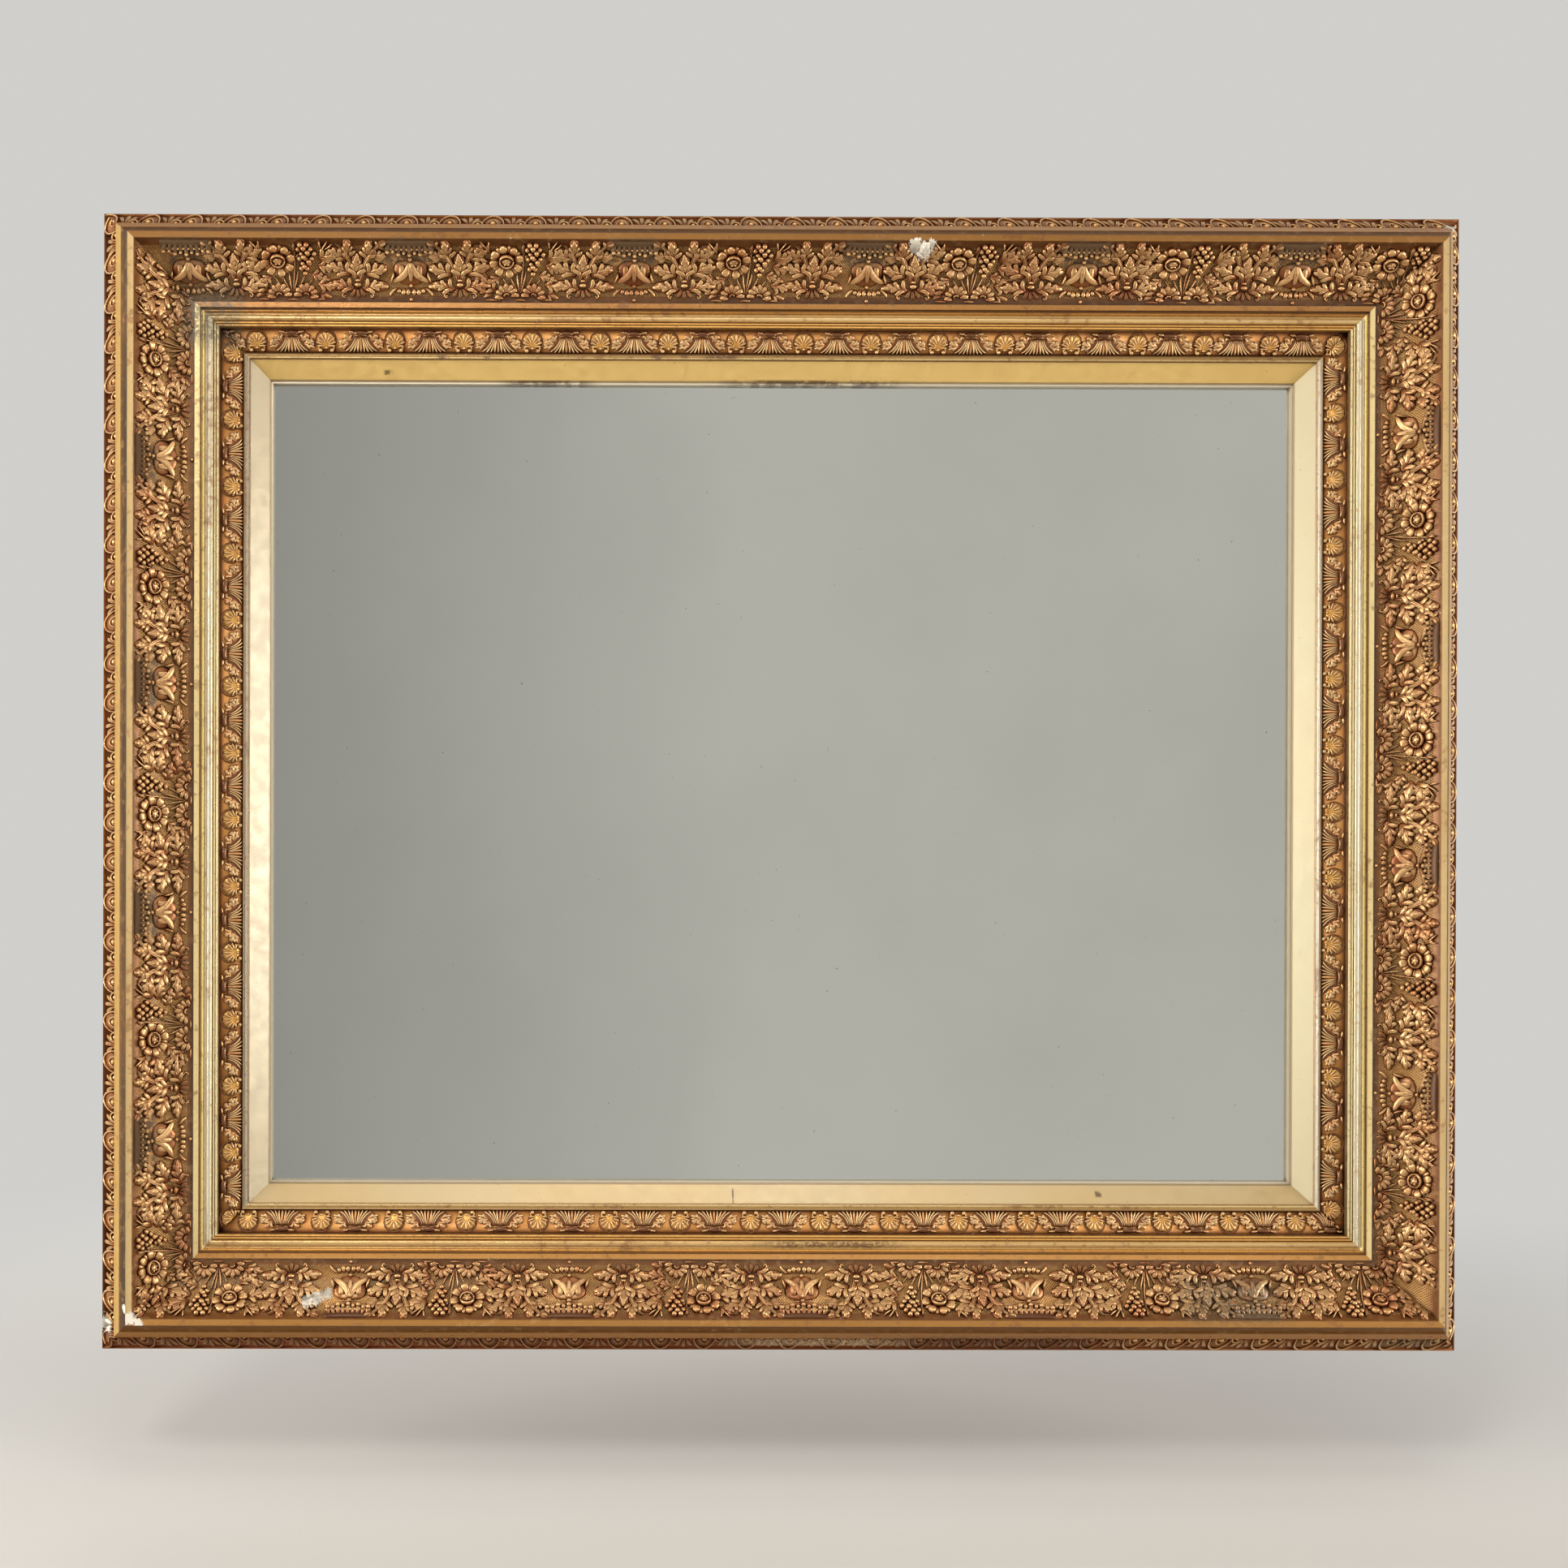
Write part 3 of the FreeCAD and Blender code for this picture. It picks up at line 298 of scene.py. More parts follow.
class Carving:
    """A shape at work. Its heights and lifts are shares of its relief."""

    def __init__(self, relief):
        self.relief = relief
        self.bm = bmesh.new()
        # The crest layer holds how near each point lies to a ridge; the gilding paints highlights where it is
        # high and shade where it is low.
        self.crest = self.bm.verts.layers.float.new("crest")

    def ball(self, around, rings):
        return bmesh.ops.create_uvsphere(self.bm, u_segments=around, v_segments=rings, radius=1.0)["verts"]

    def lobe(self, spine, width, high, full=0.5, point=1.0, hollow=0.0, lift=0.0, rings=6, around=8,
             bright=1.0):
        """One gouged lobe that lies along a spine, rounded, pointed or channelled."""
        reach = math.log(full) / math.log(0.5)
        for vert in self.ball(around, rings):
            x, y, z = vert.co
            share = min(max((z + 1) / 2, 0.0), 1.0) ** reach
            ring = math.hypot(x, y)
            side, up = (x / ring, y / ring) if ring > 1e-5 else (0.0, 0.0)
            here = spine(share)
            run = spine(min(share + 0.01, 1.0)) - spine(max(share - 0.01, 0.0))
            run.normalize()
            half = width / 2 * ring**point * side
            if up > 0.01:
                swell = up**0.4 * (1 - hollow * up**6)
                rise = self.relief * high * ring**0.6 * swell
                # A lobe's ridge takes a high crest for a painted highlight and its flanks a low one for
                # painted shade; bright scales it.
                vert[self.crest] = bright * swell * (0.55 + 0.45 * share)
            else:
                rise = 0.8 * ring * up
                vert[self.crest] = 0.6 * bright * share if ring < 0.01 else 0.0
            rise += self.relief * lift * share * share * ring - 0.15
            vert.co = (here.x - run.y * half, here.y + run.x * half, rise)

    def rod(self, spine, width, high, **kind):
        """A thin lobe, with fewer sides."""
        self.lobe(spine, width, high, around=6, **kind)

    def dome(self, centre, radius, high, height=0.0, around=8, rings=6):
        """A round boss or berry."""
        made = self.ball(around, rings)
        for vert in made:
            # A dome's top takes a high crest, for a painted highlight.
            vert[self.crest] = max(vert.co.z, 0.0)
        bmesh.ops.scale(self.bm, verts=made, vec=(radius, radius, self.relief * high))
        bmesh.ops.translate(self.bm, verts=made, vec=(centre[0], centre[1], self.relief * height))

    def leaf(self, base, tip, width, high, pairs, bend):
        """An acanthus leaf: a low body with channelled, round-tipped lobes that curl out from its spine."""
        spine = curve(base, tip, bend)
        size = (Vector(tip) - Vector(base)).length
        self.lobe(spine, width * 0.9, high * 0.42, full=0.54, point=0.8, bright=0.6)
        for pair in range(pairs):
            share = 0.08 + 0.6 * pair / pairs
            root = spine(share)
            run = spine(share + 0.05) - spine(share - 0.05)
            for side in (-1, 1):
                aim = toward(math.degrees(math.atan2(run.y, run.x)) + side * (50 - 14 * pair))
                far = root + aim * min(width * 0.88, size * 0.66) * (1 - 0.1 * pair)
                self.lobe(curve(root, far, -0.36 * side), width * 0.36, high * (0.78 + 0.1 * pair), full=0.6,
                          point=0.9, hollow=0.36, lift=high * 0.22, bright=1.3)
        self.lobe(curve(spine(0.22), spine(1.0), bend * 0.7), width * 0.36, high, full=0.58, point=0.9,
                  hollow=0.36, lift=high * 0.26, bright=1.25)


def flower(cut, centre, radius):
    """Eight gouged petals over eight smaller ones, round a cupped button."""
    centre = Vector(centre)
    for petal in range(8):
        under, over = toward(45 * petal + 34.5) * radius, toward(45 * petal + 12) * radius
        cut.lobe(curve(centre + under * 0.4, centre + under), radius * 0.34, 0.46, full=0.66, rings=5)
        cut.lobe(curve(centre + over * 0.36, centre + over * 1.06), radius * 0.5, 0.7, full=0.66, hollow=0.2,
                 lift=0.26, rings=7, around=12)
    cut.dome(centre, radius * 0.46, 0.5, height=0.2, around=14)
    rim = radius * 0.4
    for start in (0, 180):
        cut.rod(scroll(centre, start - 20, start + 200, rim, rim), radius * 0.17, 1.0, rings=10)
    cut.dome(centre, radius * 0.27, 0.4, height=0.55, around=10)
    for bead in range(5):
        spot = centre + toward(72 * bead + 20) * radius * 0.17
        cut.dome(spot, radius * 0.08, 0.14, height=0.88, around=6, rings=5)


def bunch_of_grapes(cut):
    """Loose berries in rows that narrow towards the stem."""
    for y, row in (
        (57.5, (10, 16)), (52.4, (7.6, 13.2, 19.2)), (47.2, (10.6, 16.4, 22.4)), (42, (8.2, 13.8, 19.6)),
        (36.8, (11.2, 17)), (31.8, (9.4, 14.6)), (27.2, (12.6,)),
    ):
        for x in row:
            cut.dome((x, y), 2.8, 0.5143, height=0.2)
    for place in ((13, 55.2), (16.4, 50), (12.4, 44.8), (17, 39.6), (12.6, 34.4)):
        cut.dome(place, 2.7, 0.4286, height=0.58)


def volute(cut, side):
    """A half shell of ribs that arches over a dark eye, with a curl beneath."""
    eye = Vector((side * 12.5, 5.4))
    cut.lobe(scroll(eye, 90 - side * 88, 90 + side * 88, 7.8, 7.8), 10.0, 0.56, rings=9, bright=0.8)
    for rib in range(7):
        turn = toward(2 + 29 * rib)
        aim = Vector((turn.x * side, turn.y))
        reach = 13.2 - 0.4 * abs(rib - 3)
        cut.lobe(curve(eye + aim * 2.6, eye + aim * reach, -0.22 * side), 4.4, 0.78, full=0.62, point=0.8,
                 hollow=0.35, lift=0.16, bright=1.05)
    cut.rod(scroll(eye, 90 - side * 110, 90 + side * 70, 3.0, 2.4), 1.7, 0.9, rings=9)
    curl = eye + Vector((side * 7.0, -1.8))
    cut.rod(scroll(curl, 90 + side * 80, 90 - side * 190, 2.6, 1.0), 1.5, 0.5, rings=7)


def bouquet(cut):
    """Flower, grapes, leaves and stems that spring from a pair of volutes."""
    flower(cut, (-12.5, 40), 16.0)
    bunch_of_grapes(cut)
    for side in (-1, 1):
        volute(cut, side)
    for tip, bend, width in (
        ((-9, 25), 0.1, 1.6), ((-17, 24), 0.16, 1.6), ((-3, 30), 0.05, 1.8), ((4.6, 59), -0.02, 1.8),
        ((6, 31), -0.05, 1.7), ((12, 26), -0.14, 1.7), ((20, 23), -0.2, 1.6), ((-23, 19), 0.22, 1.6),
    ):
        cut.rod(curve((0, 7), tip, bend), width, 0.5, full=0.45, rings=8)
    for near, far in (((3.2, 46), (4.6, 58)), ((5.8, 40), (7.2, 47)), ((1.4, 34), (0.4, 42))):
        cut.lobe(curve(near, far, 0.08), 2.8, 0.7, full=0.6, hollow=0.4, lift=0.1, rings=5)
    for near, far in ((-33, -21), (-5, 5), (21, 31)):
        cut.rod(curve((near, 2.6), (far, 2.6)), 2.2, 0.34)
    for row in (
        ((-27, 37), (-43, 32), 13, 0.82, 2, -0.12), ((-27, 47), (-42, 54), 11, 0.66, 2, -0.1),
        ((-20, 25), (-30, 18), 9, 0.6, 2, 0.1), ((-22, 9), (-39, 29), 11, 0.62, 3, 0.1),
        ((-26, 6), (-42, 13), 9, 0.5, 2, -0.1), ((-30, 24), (-43, 22), 8, 0.5, 2, -0.1),
        ((25, 40), (43, 45), 14, 0.82, 3, 0.12), ((24, 34), (39, 30), 11, 0.66, 2, 0.1),
        ((18, 26), (29, 22), 9, 0.6, 2, 0.1), ((23, 17), (40, 12), 11, 0.6, 2, 0.12),
        ((24, 8), (37, 4), 8, 0.5, 1, 0.1), ((21, 27), (36, 20), 8, 0.5, 2, -0.1),
    ):
        cut.leaf(*row)
    for spine in (
        ((25, 41), (36, 61), 0.06), ((30, 50), (40, 58), -0.06), ((30, 51), (28, 61), 0.08),
        ((-26, 45), (-37, 61), -0.06), ((-30, 51), (-29, 61), -0.06),
    ):
        cut.rod(curve(*spine), 1.7, 0.55, full=0.6, rings=7)


def spray(cut):
    """Acanthus spray: two fluted stems that lean apart, for a palmette on its right."""
    for shift in (-1.5, 0.0, 1.5):
        high = 0.46 if shift else 0.56
        cut.rod(curve((1.5 + shift, 12), (26.5 + shift, 60.5), 0.2), 2.0, high, rings=10)
        cut.rod(curve((-1.5 + shift, 12), (-18 + shift, 58), -0.16), 1.8, high * 0.92, rings=9)
    for row in (
        ((14, 42), (29, 45), 12, 0.66, 3, 0.14), ((7, 24), (30, 31), 15, 0.84, 3, 0.2),
        ((4, 11), (31, 14), 13, 0.74, 3, 0.2), ((9, 38), (14, 62), 13, 0.8, 3, -0.02),
        ((20, 52), (30, 60), 9, 0.6, 1, 0.1), ((-7, 40), (-8, 63), 12, 0.74, 3, 0.04),
        ((-1, 20), (1, 48), 15, 0.84, 4, 0.02), ((-9, 38), (-28, 52), 13, 0.74, 3, -0.16),
        ((-6, 24), (-31, 35), 15, 0.8, 3, -0.2), ((-3, 11), (-30, 15), 13, 0.7, 3, -0.22),
    ):
        cut.leaf(*row)
    cut.lobe(curve((-3.6, 16.5), (3.6, 16.5)), 4.6, 0.86)
    cut.rod(curve((-2.6, 20.6), (2.6, 20.6)), 3.0, 0.7)
    for far in (-7, 0, 7):
        foot = curve((far * 0.2, 14), (far, 3.5 + abs(far) * 0.2))
        cut.lobe(foot, 3.6, 0.55, full=0.6, hollow=0.5, rings=5)
    for side in (-1, 1):
        cut.rod(scroll((side * 13, 6), 90 + side * 60, 90 - side * 220, 3.4, 1.2), 1.8, 0.6, rings=8)
        cut.dome((side * 13, 6), 1.3, 0.45)


def palmette(cut):
    """A lotus: horned outer petals around inner ones, with slits that are raised lobes painted dark as shade,
    over a crown of small lobes.
    """
    cut.lobe(curve((0, 15), (0, 40)), 33.0, 0.4, full=0.6, point=0.7, rings=8, around=12, bright=0.85)
    for side in (-1, 1):
        cut.lobe(beside(side, (0.5, 38.6), (18.4, 19.5), -0.36), 7.4, 0.86, full=0.42, point=0.8, hollow=0.2,
                 rings=9, bright=1.5)
        cut.rod(beside(side, (15.6, 29), (18.8, 18.4), -0.1), 2.2, 0.9)
        cut.lobe(beside(side, (8.6, 36), (10.0, 20.5), -0.16), 6.4, 0.8, full=0.4, hollow=0.35, lift=0.1,
                 rings=7, bright=1.4)
        # Each slit is a low lobe with almost no crest, painted dark as shade.
        cut.lobe(beside(side, (5.0, 35.5), (5.2, 25), 0.1), 2.4, 0.62, bright=0.02)
        for foot, far, width in ((2.8, 6.8, 4.6), (7.4, 6.6, 4.8), (11.6, 8.6, 4.2)):
            spine = beside(side, (foot * 0.9, 14), (foot, far))
            cut.lobe(spine, width, 0.62, full=0.66, point=0.8, hollow=0.15)
        cut.lobe(beside(side, (12, 13.5), (20, 5.5), 0.24), 3.4, 0.5)
    cut.lobe(curve((0, 37.5), (0, 18.5)), 5.4, 0.94, full=0.45, point=0.9, hollow=0.35, rings=8, bright=1.4)
    for place, radius, high in ((15.6, 2.2, 0.8), (2.6, 2.0, 0.55), (41.6, 2.5, 0.75)):
        cut.dome((0, place), radius, high)


def lappet(cut):
    """A short drape: a smooth crescent cushion over a row of fat pleats, with painted shade on the cushion
    toward the crest.
    """
    cut.lobe(curve((-24, 58.5), (24, 58.5), -0.1), 11.0, 0.4, point=0.7, rings=10, around=10, bright=0.12)
    for side in (-1, 1):
        cut.lobe(beside(side, (1.0, 42.4), (21, 49.5), 0.12), 6.6, 0.6, point=0.8, rings=8, bright=0.8)
    for pleat in range(9):
        share = (pleat - 4) / 4
        odd = pleat % 2
        tip = (share * 20.5, 46.0 + 4.0 * share * share + 1.8 * odd)
        cut.lobe(curve((share * 18, 58.4), tip, 0.06 * share), 5.2 - 0.8 * odd, 0.86 - 0.14 * odd, full=0.64,
                 point=0.75, hollow=0.15, lift=0.3, rings=7, bright=0.85)
        cut.dome((share * 19.8, tip[1] + 2.6), 2.5 - 0.4 * odd, 0.6, height=0.62 - 0.1 * odd)
    for pleat in range(8):
        share = (pleat - 3.5) / 4
        cut.dome((share * 19, 53.6), 1.5, 0.5, height=0.3, around=6, rings=5)


def bow(width, crown, foot, middle=0.0):
    """A spine shaped like a tall arch, from foot to foot over its crown."""

    def at(share):
        angle = math.radians(-90 + 180 * share)
        return Vector((middle + width * math.sin(angle), foot - (foot - crown) * math.cos(angle)))

    return at


def leaf_arch(cut):
    """Arch of the leaf edge, its crown to the outside, over a ball in a small arch."""
    cut.lobe(curve((0, 37), (0, 2.4)), 19.0, 0.5, full=0.55, around=12, bright=0.66)
    cut.rod(bow(10.2, 1.8, 37), 2.5, 1.3, rings=13)
    cut.rod(bow(5.0, 19.0, 37), 2.2, 1.35, rings=9)
    cut.dome((0, 31.5), 3.0, 1.7)


def leaf_fan(cut):
    """Fluted leaf between two arches, with a low arch at its foot."""
    root = Vector((-2.0, 37))
    for turn, reach in ((-16, 30.0), (0, 34.0), (16, 30.0)):
        aim = toward(turn - 90)
        cut.lobe(curve(root + aim * 5, root + aim * reach, 0.05), 4.4, 1.1, full=0.6, hollow=0.3)
    cut.rod(bow(4.6, 24.0, 37, 6.0), 2.1, 1.3, rings=9)
    cut.dome((6.0, 33.5), 2.2, 1.2)


def shell(cut):
    """A round ribbed shell in an arc painted dark as shade, that opens outwards from two berries with painted
    highlights.
    """
    foot = Vector((0, 7.4))
    cut.lobe(curve((0, 3.2), (0, 20.4)), 17.4, 0.6, around=12, bright=0.5)
    for rib in range(9):
        turn = math.radians(23 * (rib - 4))
        aim = Vector((math.sin(turn), math.cos(turn)))
        reach = 12.8 - 3.9 * (1 - math.cos(turn))
        cut.rod(curve(foot + aim * 0.8, foot + aim * reach), 2.2, 1.0, full=0.64, rings=5, bright=0.9)
    # A low arc with no crest, painted dark as shade round the shell.
    cut.rod(scroll((0, 12.0), -46, 226, 9.9, 9.9), 2.0, 0.12, rings=14, bright=0.0)
    for side in (-1, 1):
        winding = scroll((side * 5.2, 4.4), 90 + side * 70, 90 - side * 200, 3.0, 1.6)
        cut.rod(winding, 1.5, 0.9, rings=8, bright=0.8)
        cut.dome((side * 5.5, 3.2), 2.2, 1.25)
    cut.dome((0, 5.4), 1.7, 1.0)


def reeds(cut):
    """Two wings of reeds that curve from an oval cup to the inner edge, with lobed leaves by the shells."""
    for side in (-1, 1):
        # A low body with little crest, painted dark as shade between the reeds.
        cut.lobe(beside(side, (2.0, 15.5), (18.0, 6.0), -0.26), 12.5, 0.3, rings=8, bright=0.12)
        for near, far, low, bend in (
            (0.9, 3.2, 0.9, 0.08), (2.3, 7.4, 0.9, -0.08), (3.8, 11.6, 1.2, -0.18), (5.3, 15.4, 2.2, -0.26),
        ):
            cut.rod(beside(side, (near, 15.8), (far, low), bend), 1.9, 1.15, full=0.6, rings=8, bright=1.3)
        cut.leaf((side * 11.0, 8.6), (side * 20.6, 12.2), 8.5, 1.05, 2, -0.15 * side)
        cut.leaf((side * 9.5, 11.0), (side * 16.0, 17.6), 7.0, 1.0, 1, 0.1 * side)
        cut.lobe(beside(side, (15.0, 6.8), (21.6, 5.2), 0.2), 3.0, 0.9, rings=5)
        cut.lobe(beside(side, (5.6, 19.3), (12.0, 20.3), 0.1), 2.6, 0.8, rings=5)
    cut.rod(curve((0, 16.0), (0, 0.8)), 3.4, 0.8, full=0.55, rings=8, bright=0.62)
    # The cup has little crest, so it is painted dark as shade.
    cut.lobe(curve((-6.8, 18.8), (6.8, 18.8)), 5.8, 1.25, hollow=0.2, bright=0.1)
    cut.rod(curve((-6.0, 16.4), (6.0, 16.4), 0.14), 1.6, 1.0, bright=0.9)


def drawn(make, relief):
    """A shape drawn once: its mesh, its points and how near each lies to a crest."""
    cut = Carving(relief)
    make(cut)
    bmesh.ops.recalc_face_normals(cut.bm, faces=cut.bm.faces)
    mesh = bpy.data.meshes.new(make.__name__)
    cut.bm.to_mesh(mesh)
    cut.bm.free()
    points = np.empty(len(mesh.vertices) * 3)
    mesh.vertices.foreach_get("co", points)
    crests = np.empty(len(mesh.vertices))
    mesh.attributes["crest"].data.foreach_get("value", crests)
    mesh.attributes.remove(mesh.attributes["crest"])
    return mesh, points.reshape(-1, 3), crests


def strip(bm, side, section):
    """A mitred strip along a rail, from the corners of its section."""
    _, long_half = half_across(side)
    corners = np.array(section)
    near, far = (
        [bm.verts.new(point) for point in turned(side, end * (long_half - corners[:, 0]), corners)]
        for end in (-1, 1)
    )
    bm.faces.new(near)
    for index, corner in enumerate(near):
        after = (index + 1) % len(near)
        bm.faces.new((corner, far[index], far[after], near[after]))
    bm.faces.new(list(reversed(far)))
    bmesh.ops.recalc_face_normals(bm, faces=bm.faces)


def mitre(bm, side):
    """Cuts what is laid on a rail at both of its mitres and closes the cuts."""
    _, long_half = half_across(side)
    angle = math.radians(SIDES[side])
    out = Vector((math.sin(angle), 0, math.cos(angle)))
    # Any point of the mitre's plane serves; this one lies inside the cove.
    inward, depth = 50.0, 60.0
    for end in (-1, 1):
        on_mitre = turned(side, np.array([end * (long_half - inward)]), np.array([[inward, depth]]))[0]
        run = Vector((math.cos(angle), 0, -math.sin(angle))) * end
        everything = bm.verts[:] + bm.edges[:] + bm.faces[:]
        sawn = bmesh.ops.bisect_plane(
            bm, geom=everything, plane_co=on_mitre, plane_no=(run - out).normalized(), clear_outer=True
        )
        rims = [e for e in sawn["geom_cut"] if isinstance(e, bmesh.types.BMEdge) and e.is_boundary]
        bmesh.ops.holes_fill(bm, edges=rims, sides=0)


def carved(name, side, ground, laid, strip_section=(), strip_crests=()):
    """A rail's piece from shapes laid along it. laid holds shape, place, mirror, size, soot and blush."""
    bm = bmesh.new()
    layers = [bm.verts.layers.float.new(word) for word in CARVED_LAYERS]
    if strip_section:
        strip(bm, side, strip_section)
        crest = layers[CARVED_LAYERS.index("crest")]
        for index, vert in enumerate(bm.verts):
            vert[crest] = strip_crests[index % len(strip_section)]
    for (mesh, points, crests), place, mirror, size, soot, blush in laid:
        along = points[:, 0] * mirror * size + place
        placed = turned(side, along, ground.points(points[:, 1], points[:, 2]))
        start = len(bm.verts)
        faces = len(bm.faces)
        bm.from_mesh(mesh)
        bm.verts.ensure_lookup_table()
        for index, point in enumerate(placed):
            vert = bm.verts[start + index]
            vert.co = point
            for layer, level in zip(layers, (points[index, 2], crests[index], soot, blush)):
                vert[layer] = level
        # A shape laid on the frame changes hand, which turns its faces inside out.
        if mirror > 0:
            bm.faces.ensure_lookup_table()
            bmesh.ops.reverse_faces(bm, faces=bm.faces[faces:])
    mitre(bm, side)
    mesh = bpy.data.meshes.new(name)
    bm.to_mesh(mesh)
    bm.free()
    mesh.shade_smooth()
    mesh.materials.append(bpy.data.materials.get("ornament_gilding") or gilding("ornament_gilding", True))
    piece = bpy.data.objects.new(name, mesh)
    bpy.context.scene.collection.objects.link(piece)
    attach(piece, "frame")
    return piece


def run_of(side, pitch, run):
    """Places along a rail in millimetres for a run of one motif, from mitre to mitre."""
    _, long_half = half_across(side)
    start, share, growth = run
    places = [start + step * (pitch / MM * share + growth * step) for step in range(-30, 31)]
    return [place for place in places if abs(place) < long_half]


class Graph:
    """Nodes at work: each call adds some and gives back what comes out of them."""

    def __init__(self, tree):
        self.tree = tree

    def feed(self, socket, value):
        if isinstance(value, bpy.types.NodeSocket):
            self.tree.links.new(value, socket)
        else:
            socket.default_value = value

    def node(self, kind, given=(), **settings):
        made = self.tree.nodes.new(kind)
        for key, value in settings.items():
            setattr(made, key, value)
        for key, value in dict(given).items():
            self.feed(made.inputs[key], value)
        return made

    def sum(self, operation, first, second=0.0):
        return self.node("ShaderNodeMath", {0: first, 1: second}, operation=operation).outputs[0]

    def times(self, product, *shares):
        for share in shares:
            product = self.sum("MULTIPLY", product, share)
        return product

    def plus(self, first, second):
        return self.sum("ADD", first, second)

    def less(self, first, second):
        return self.sum("SUBTRACT", first, second)

    def most(self, first, second):
        return self.sum("MAXIMUM", first, second)

    def without(self, share):
        """What a share leaves of one."""
        return self.less(1.0, share)

    def mix(self, share, first, second, blend="MIX"):
        made = self.node("ShaderNodeMix", {0: share, 6: first, 7: second}, data_type="RGBA", blend_type=blend)
        return made.outputs[2]

    def stops(self, value, stops):
        made = self.node("ShaderNodeValToRGB", {0: value})
        elements = made.color_ramp.elements
        while len(elements) < len(stops):
            elements.new(0.5)
        for element, (place, shade) in zip(elements, stops):
            element.position = place
            element.color = shade
        return made.outputs[0]


class Finish(Graph):
    """A material at work, with the colour that has been laid so far as its base."""

    def __init__(self, name):
        self.material = bpy.data.materials.new(name)
        self.material.use_nodes = True
        super().__init__(self.material.node_tree)
        self.shader = self.tree.nodes["Principled BSDF"]
        self.object = self.node("ShaderNodeTexCoord").outputs["Object"]
        self.base = None

    def lay(self, shade, *shares, blend="MIX"):
        """Lays a colour over the base, as thick as the product of these shares."""
        self.base = self.mix(self.times(*shares), self.base, shade, blend)

    def dress(self, given):
        """Feeds the base and these values to the shader and gives back the material."""
        for name, value in {"Base Color": self.base, **given}.items():
            self.feed(self.shader.inputs[name], value)
        return self.material

    def noise(self, scale, detail=4.0, rough=0.55, warp=0.0, vector=None):
        given = {"Vector": vector or self.object, "Scale": scale, "Detail": detail, "Roughness": rough}
        return self.node("ShaderNodeTexNoise", {**given, "Distortion": warp}).outputs[0]

    def ramp(self, value, low, high, first=0.0, last=1.0):
        given = {0: value, 1: low, 2: high, 3: first, 4: last}
        return self.node("ShaderNodeMapRange", given, interpolation_type="SMOOTHSTEP").outputs[0]

    def band(self, value, rise, full, fall, gone):
        """One from full to fall, with soft edges that end at rise and gone."""
        return self.times(self.ramp(value, rise, full), self.ramp(value, gone, fall))

    def hollows(self, reach):
        return self.node("ShaderNodeAmbientOcclusion", {"Distance": reach}, samples=6).outputs["AO"]

    def vector(self, operation, given):
        return self.node("ShaderNodeVectorMath", given, operation=operation).outputs

    def banded(self, share, bands):
        """A grey that runs through values given at distances in millimetres across the section."""
        return self.stops(share, [(place / RAIL_WIDTH, (level, level, level, 1)) for place, level in bands])

    def bump(self, height, depth, strength=1.0, under=None):
        given = {"Height": height, "Distance": depth, "Strength": strength}
        if under is not None:
            given["Normal"] = under
        return self.node("ShaderNodeBump", given).outputs[0]

    def section(self):
        """How far in from the frame's outer edge a point lies, its place, and one on the upright rails."""
        parts = self.node("ShaderNodeSeparateXYZ", {0: self.object}).outputs
        from_side = self.less(HALF_WIDTH, self.sum("ABSOLUTE", parts[0]))
        from_end = self.less(HALF_HEIGHT, self.sum("ABSOLUTE", parts[2]))
        upright = self.ramp(self.less(from_end, from_side), -0.0004, 0.0004)
        return self.sum("MINIMUM", from_side, from_end), parts, upright

    def patch(self, spans, parts, ragged):
        """One inside any of these spans of the frame's plane, with soft and ragged edges."""
        found = None
        for left, right, low, high in spans:
            inside = self.ramp(ragged, 0.36, 0.56)
            for value, first, last in ((parts[0], left, right), (parts[2], low, high)):
                soft = (last - first) * 0.2
                edges = (edge * MM for edge in (first - soft, first + soft, last - soft, last + soft))
                inside = self.times(inside, self.band(value, *edges))
            found = inside if found is None else self.most(found, inside)
        return found

    def near(self, places, ragged):
        """One where a point is near one of these places, given in millimetres with a reach."""
        found = None
        flat = self.vector("MULTIPLY", {0: self.object, 1: (1.0, 0.0, 1.0)})[0]
        for x, z, wide in places:
            reach = wide * MM
            spot = self.node("ShaderNodeCombineXYZ", {0: x * MM, 2: z * MM}).outputs[0]
            gap = self.vector("LENGTH", {0: self.vector("SUBTRACT", {0: spot, 1: flat})[0]})["Value"]
            torn = self.plus(gap, self.times(self.less(ragged, 0.5), reach * 2.8))
            inside = self.ramp(torn, reach * 0.96, reach * 0.9)
            found = inside if found is None else self.most(found, inside)
        return found


# Gesso losses on the castings and mouldings in millimetres: X, Z and reach of each.
LOSSES = (
    (118, 497, 6), (126, 493, 7), (132, 498, 4), (-446, -486, 5.5), (-437, -484, 6), (-428, -481, 4.5),
    (-644, -518, 8), (-608, -499, 6), (-600, -504, 4), (-616, -494, 4), (632, 528, 5),
)
# Worn, dirty and dark stretches in millimetres, each from and to along X and from and to along Z.
PALE_WEAR = (
    (-40, 115, -538, -528),
)
GREY_WEAR = (
    (572, 627, -538, -526), (370, 467, -502, -466), (-570, -512, 410, 468),
)
DARK_STAINS = (
    (-329, -319, 400, 406), (-286, -279, 401, 406), (-126, -116, 400, 406), (-98, -91, 401, 406),
    (-76, -44, 401, 406), (-19, 104, -440, -433), (118, 295, -545, -523),
)
SLIP_STAINS = (
    (-50, 105, 380, 385), (-263, -186, 380, 384), (-46.8, -45.2, -402, -384), (300, 306, -394, -389),
    (-380, -372, 388, 392),
)
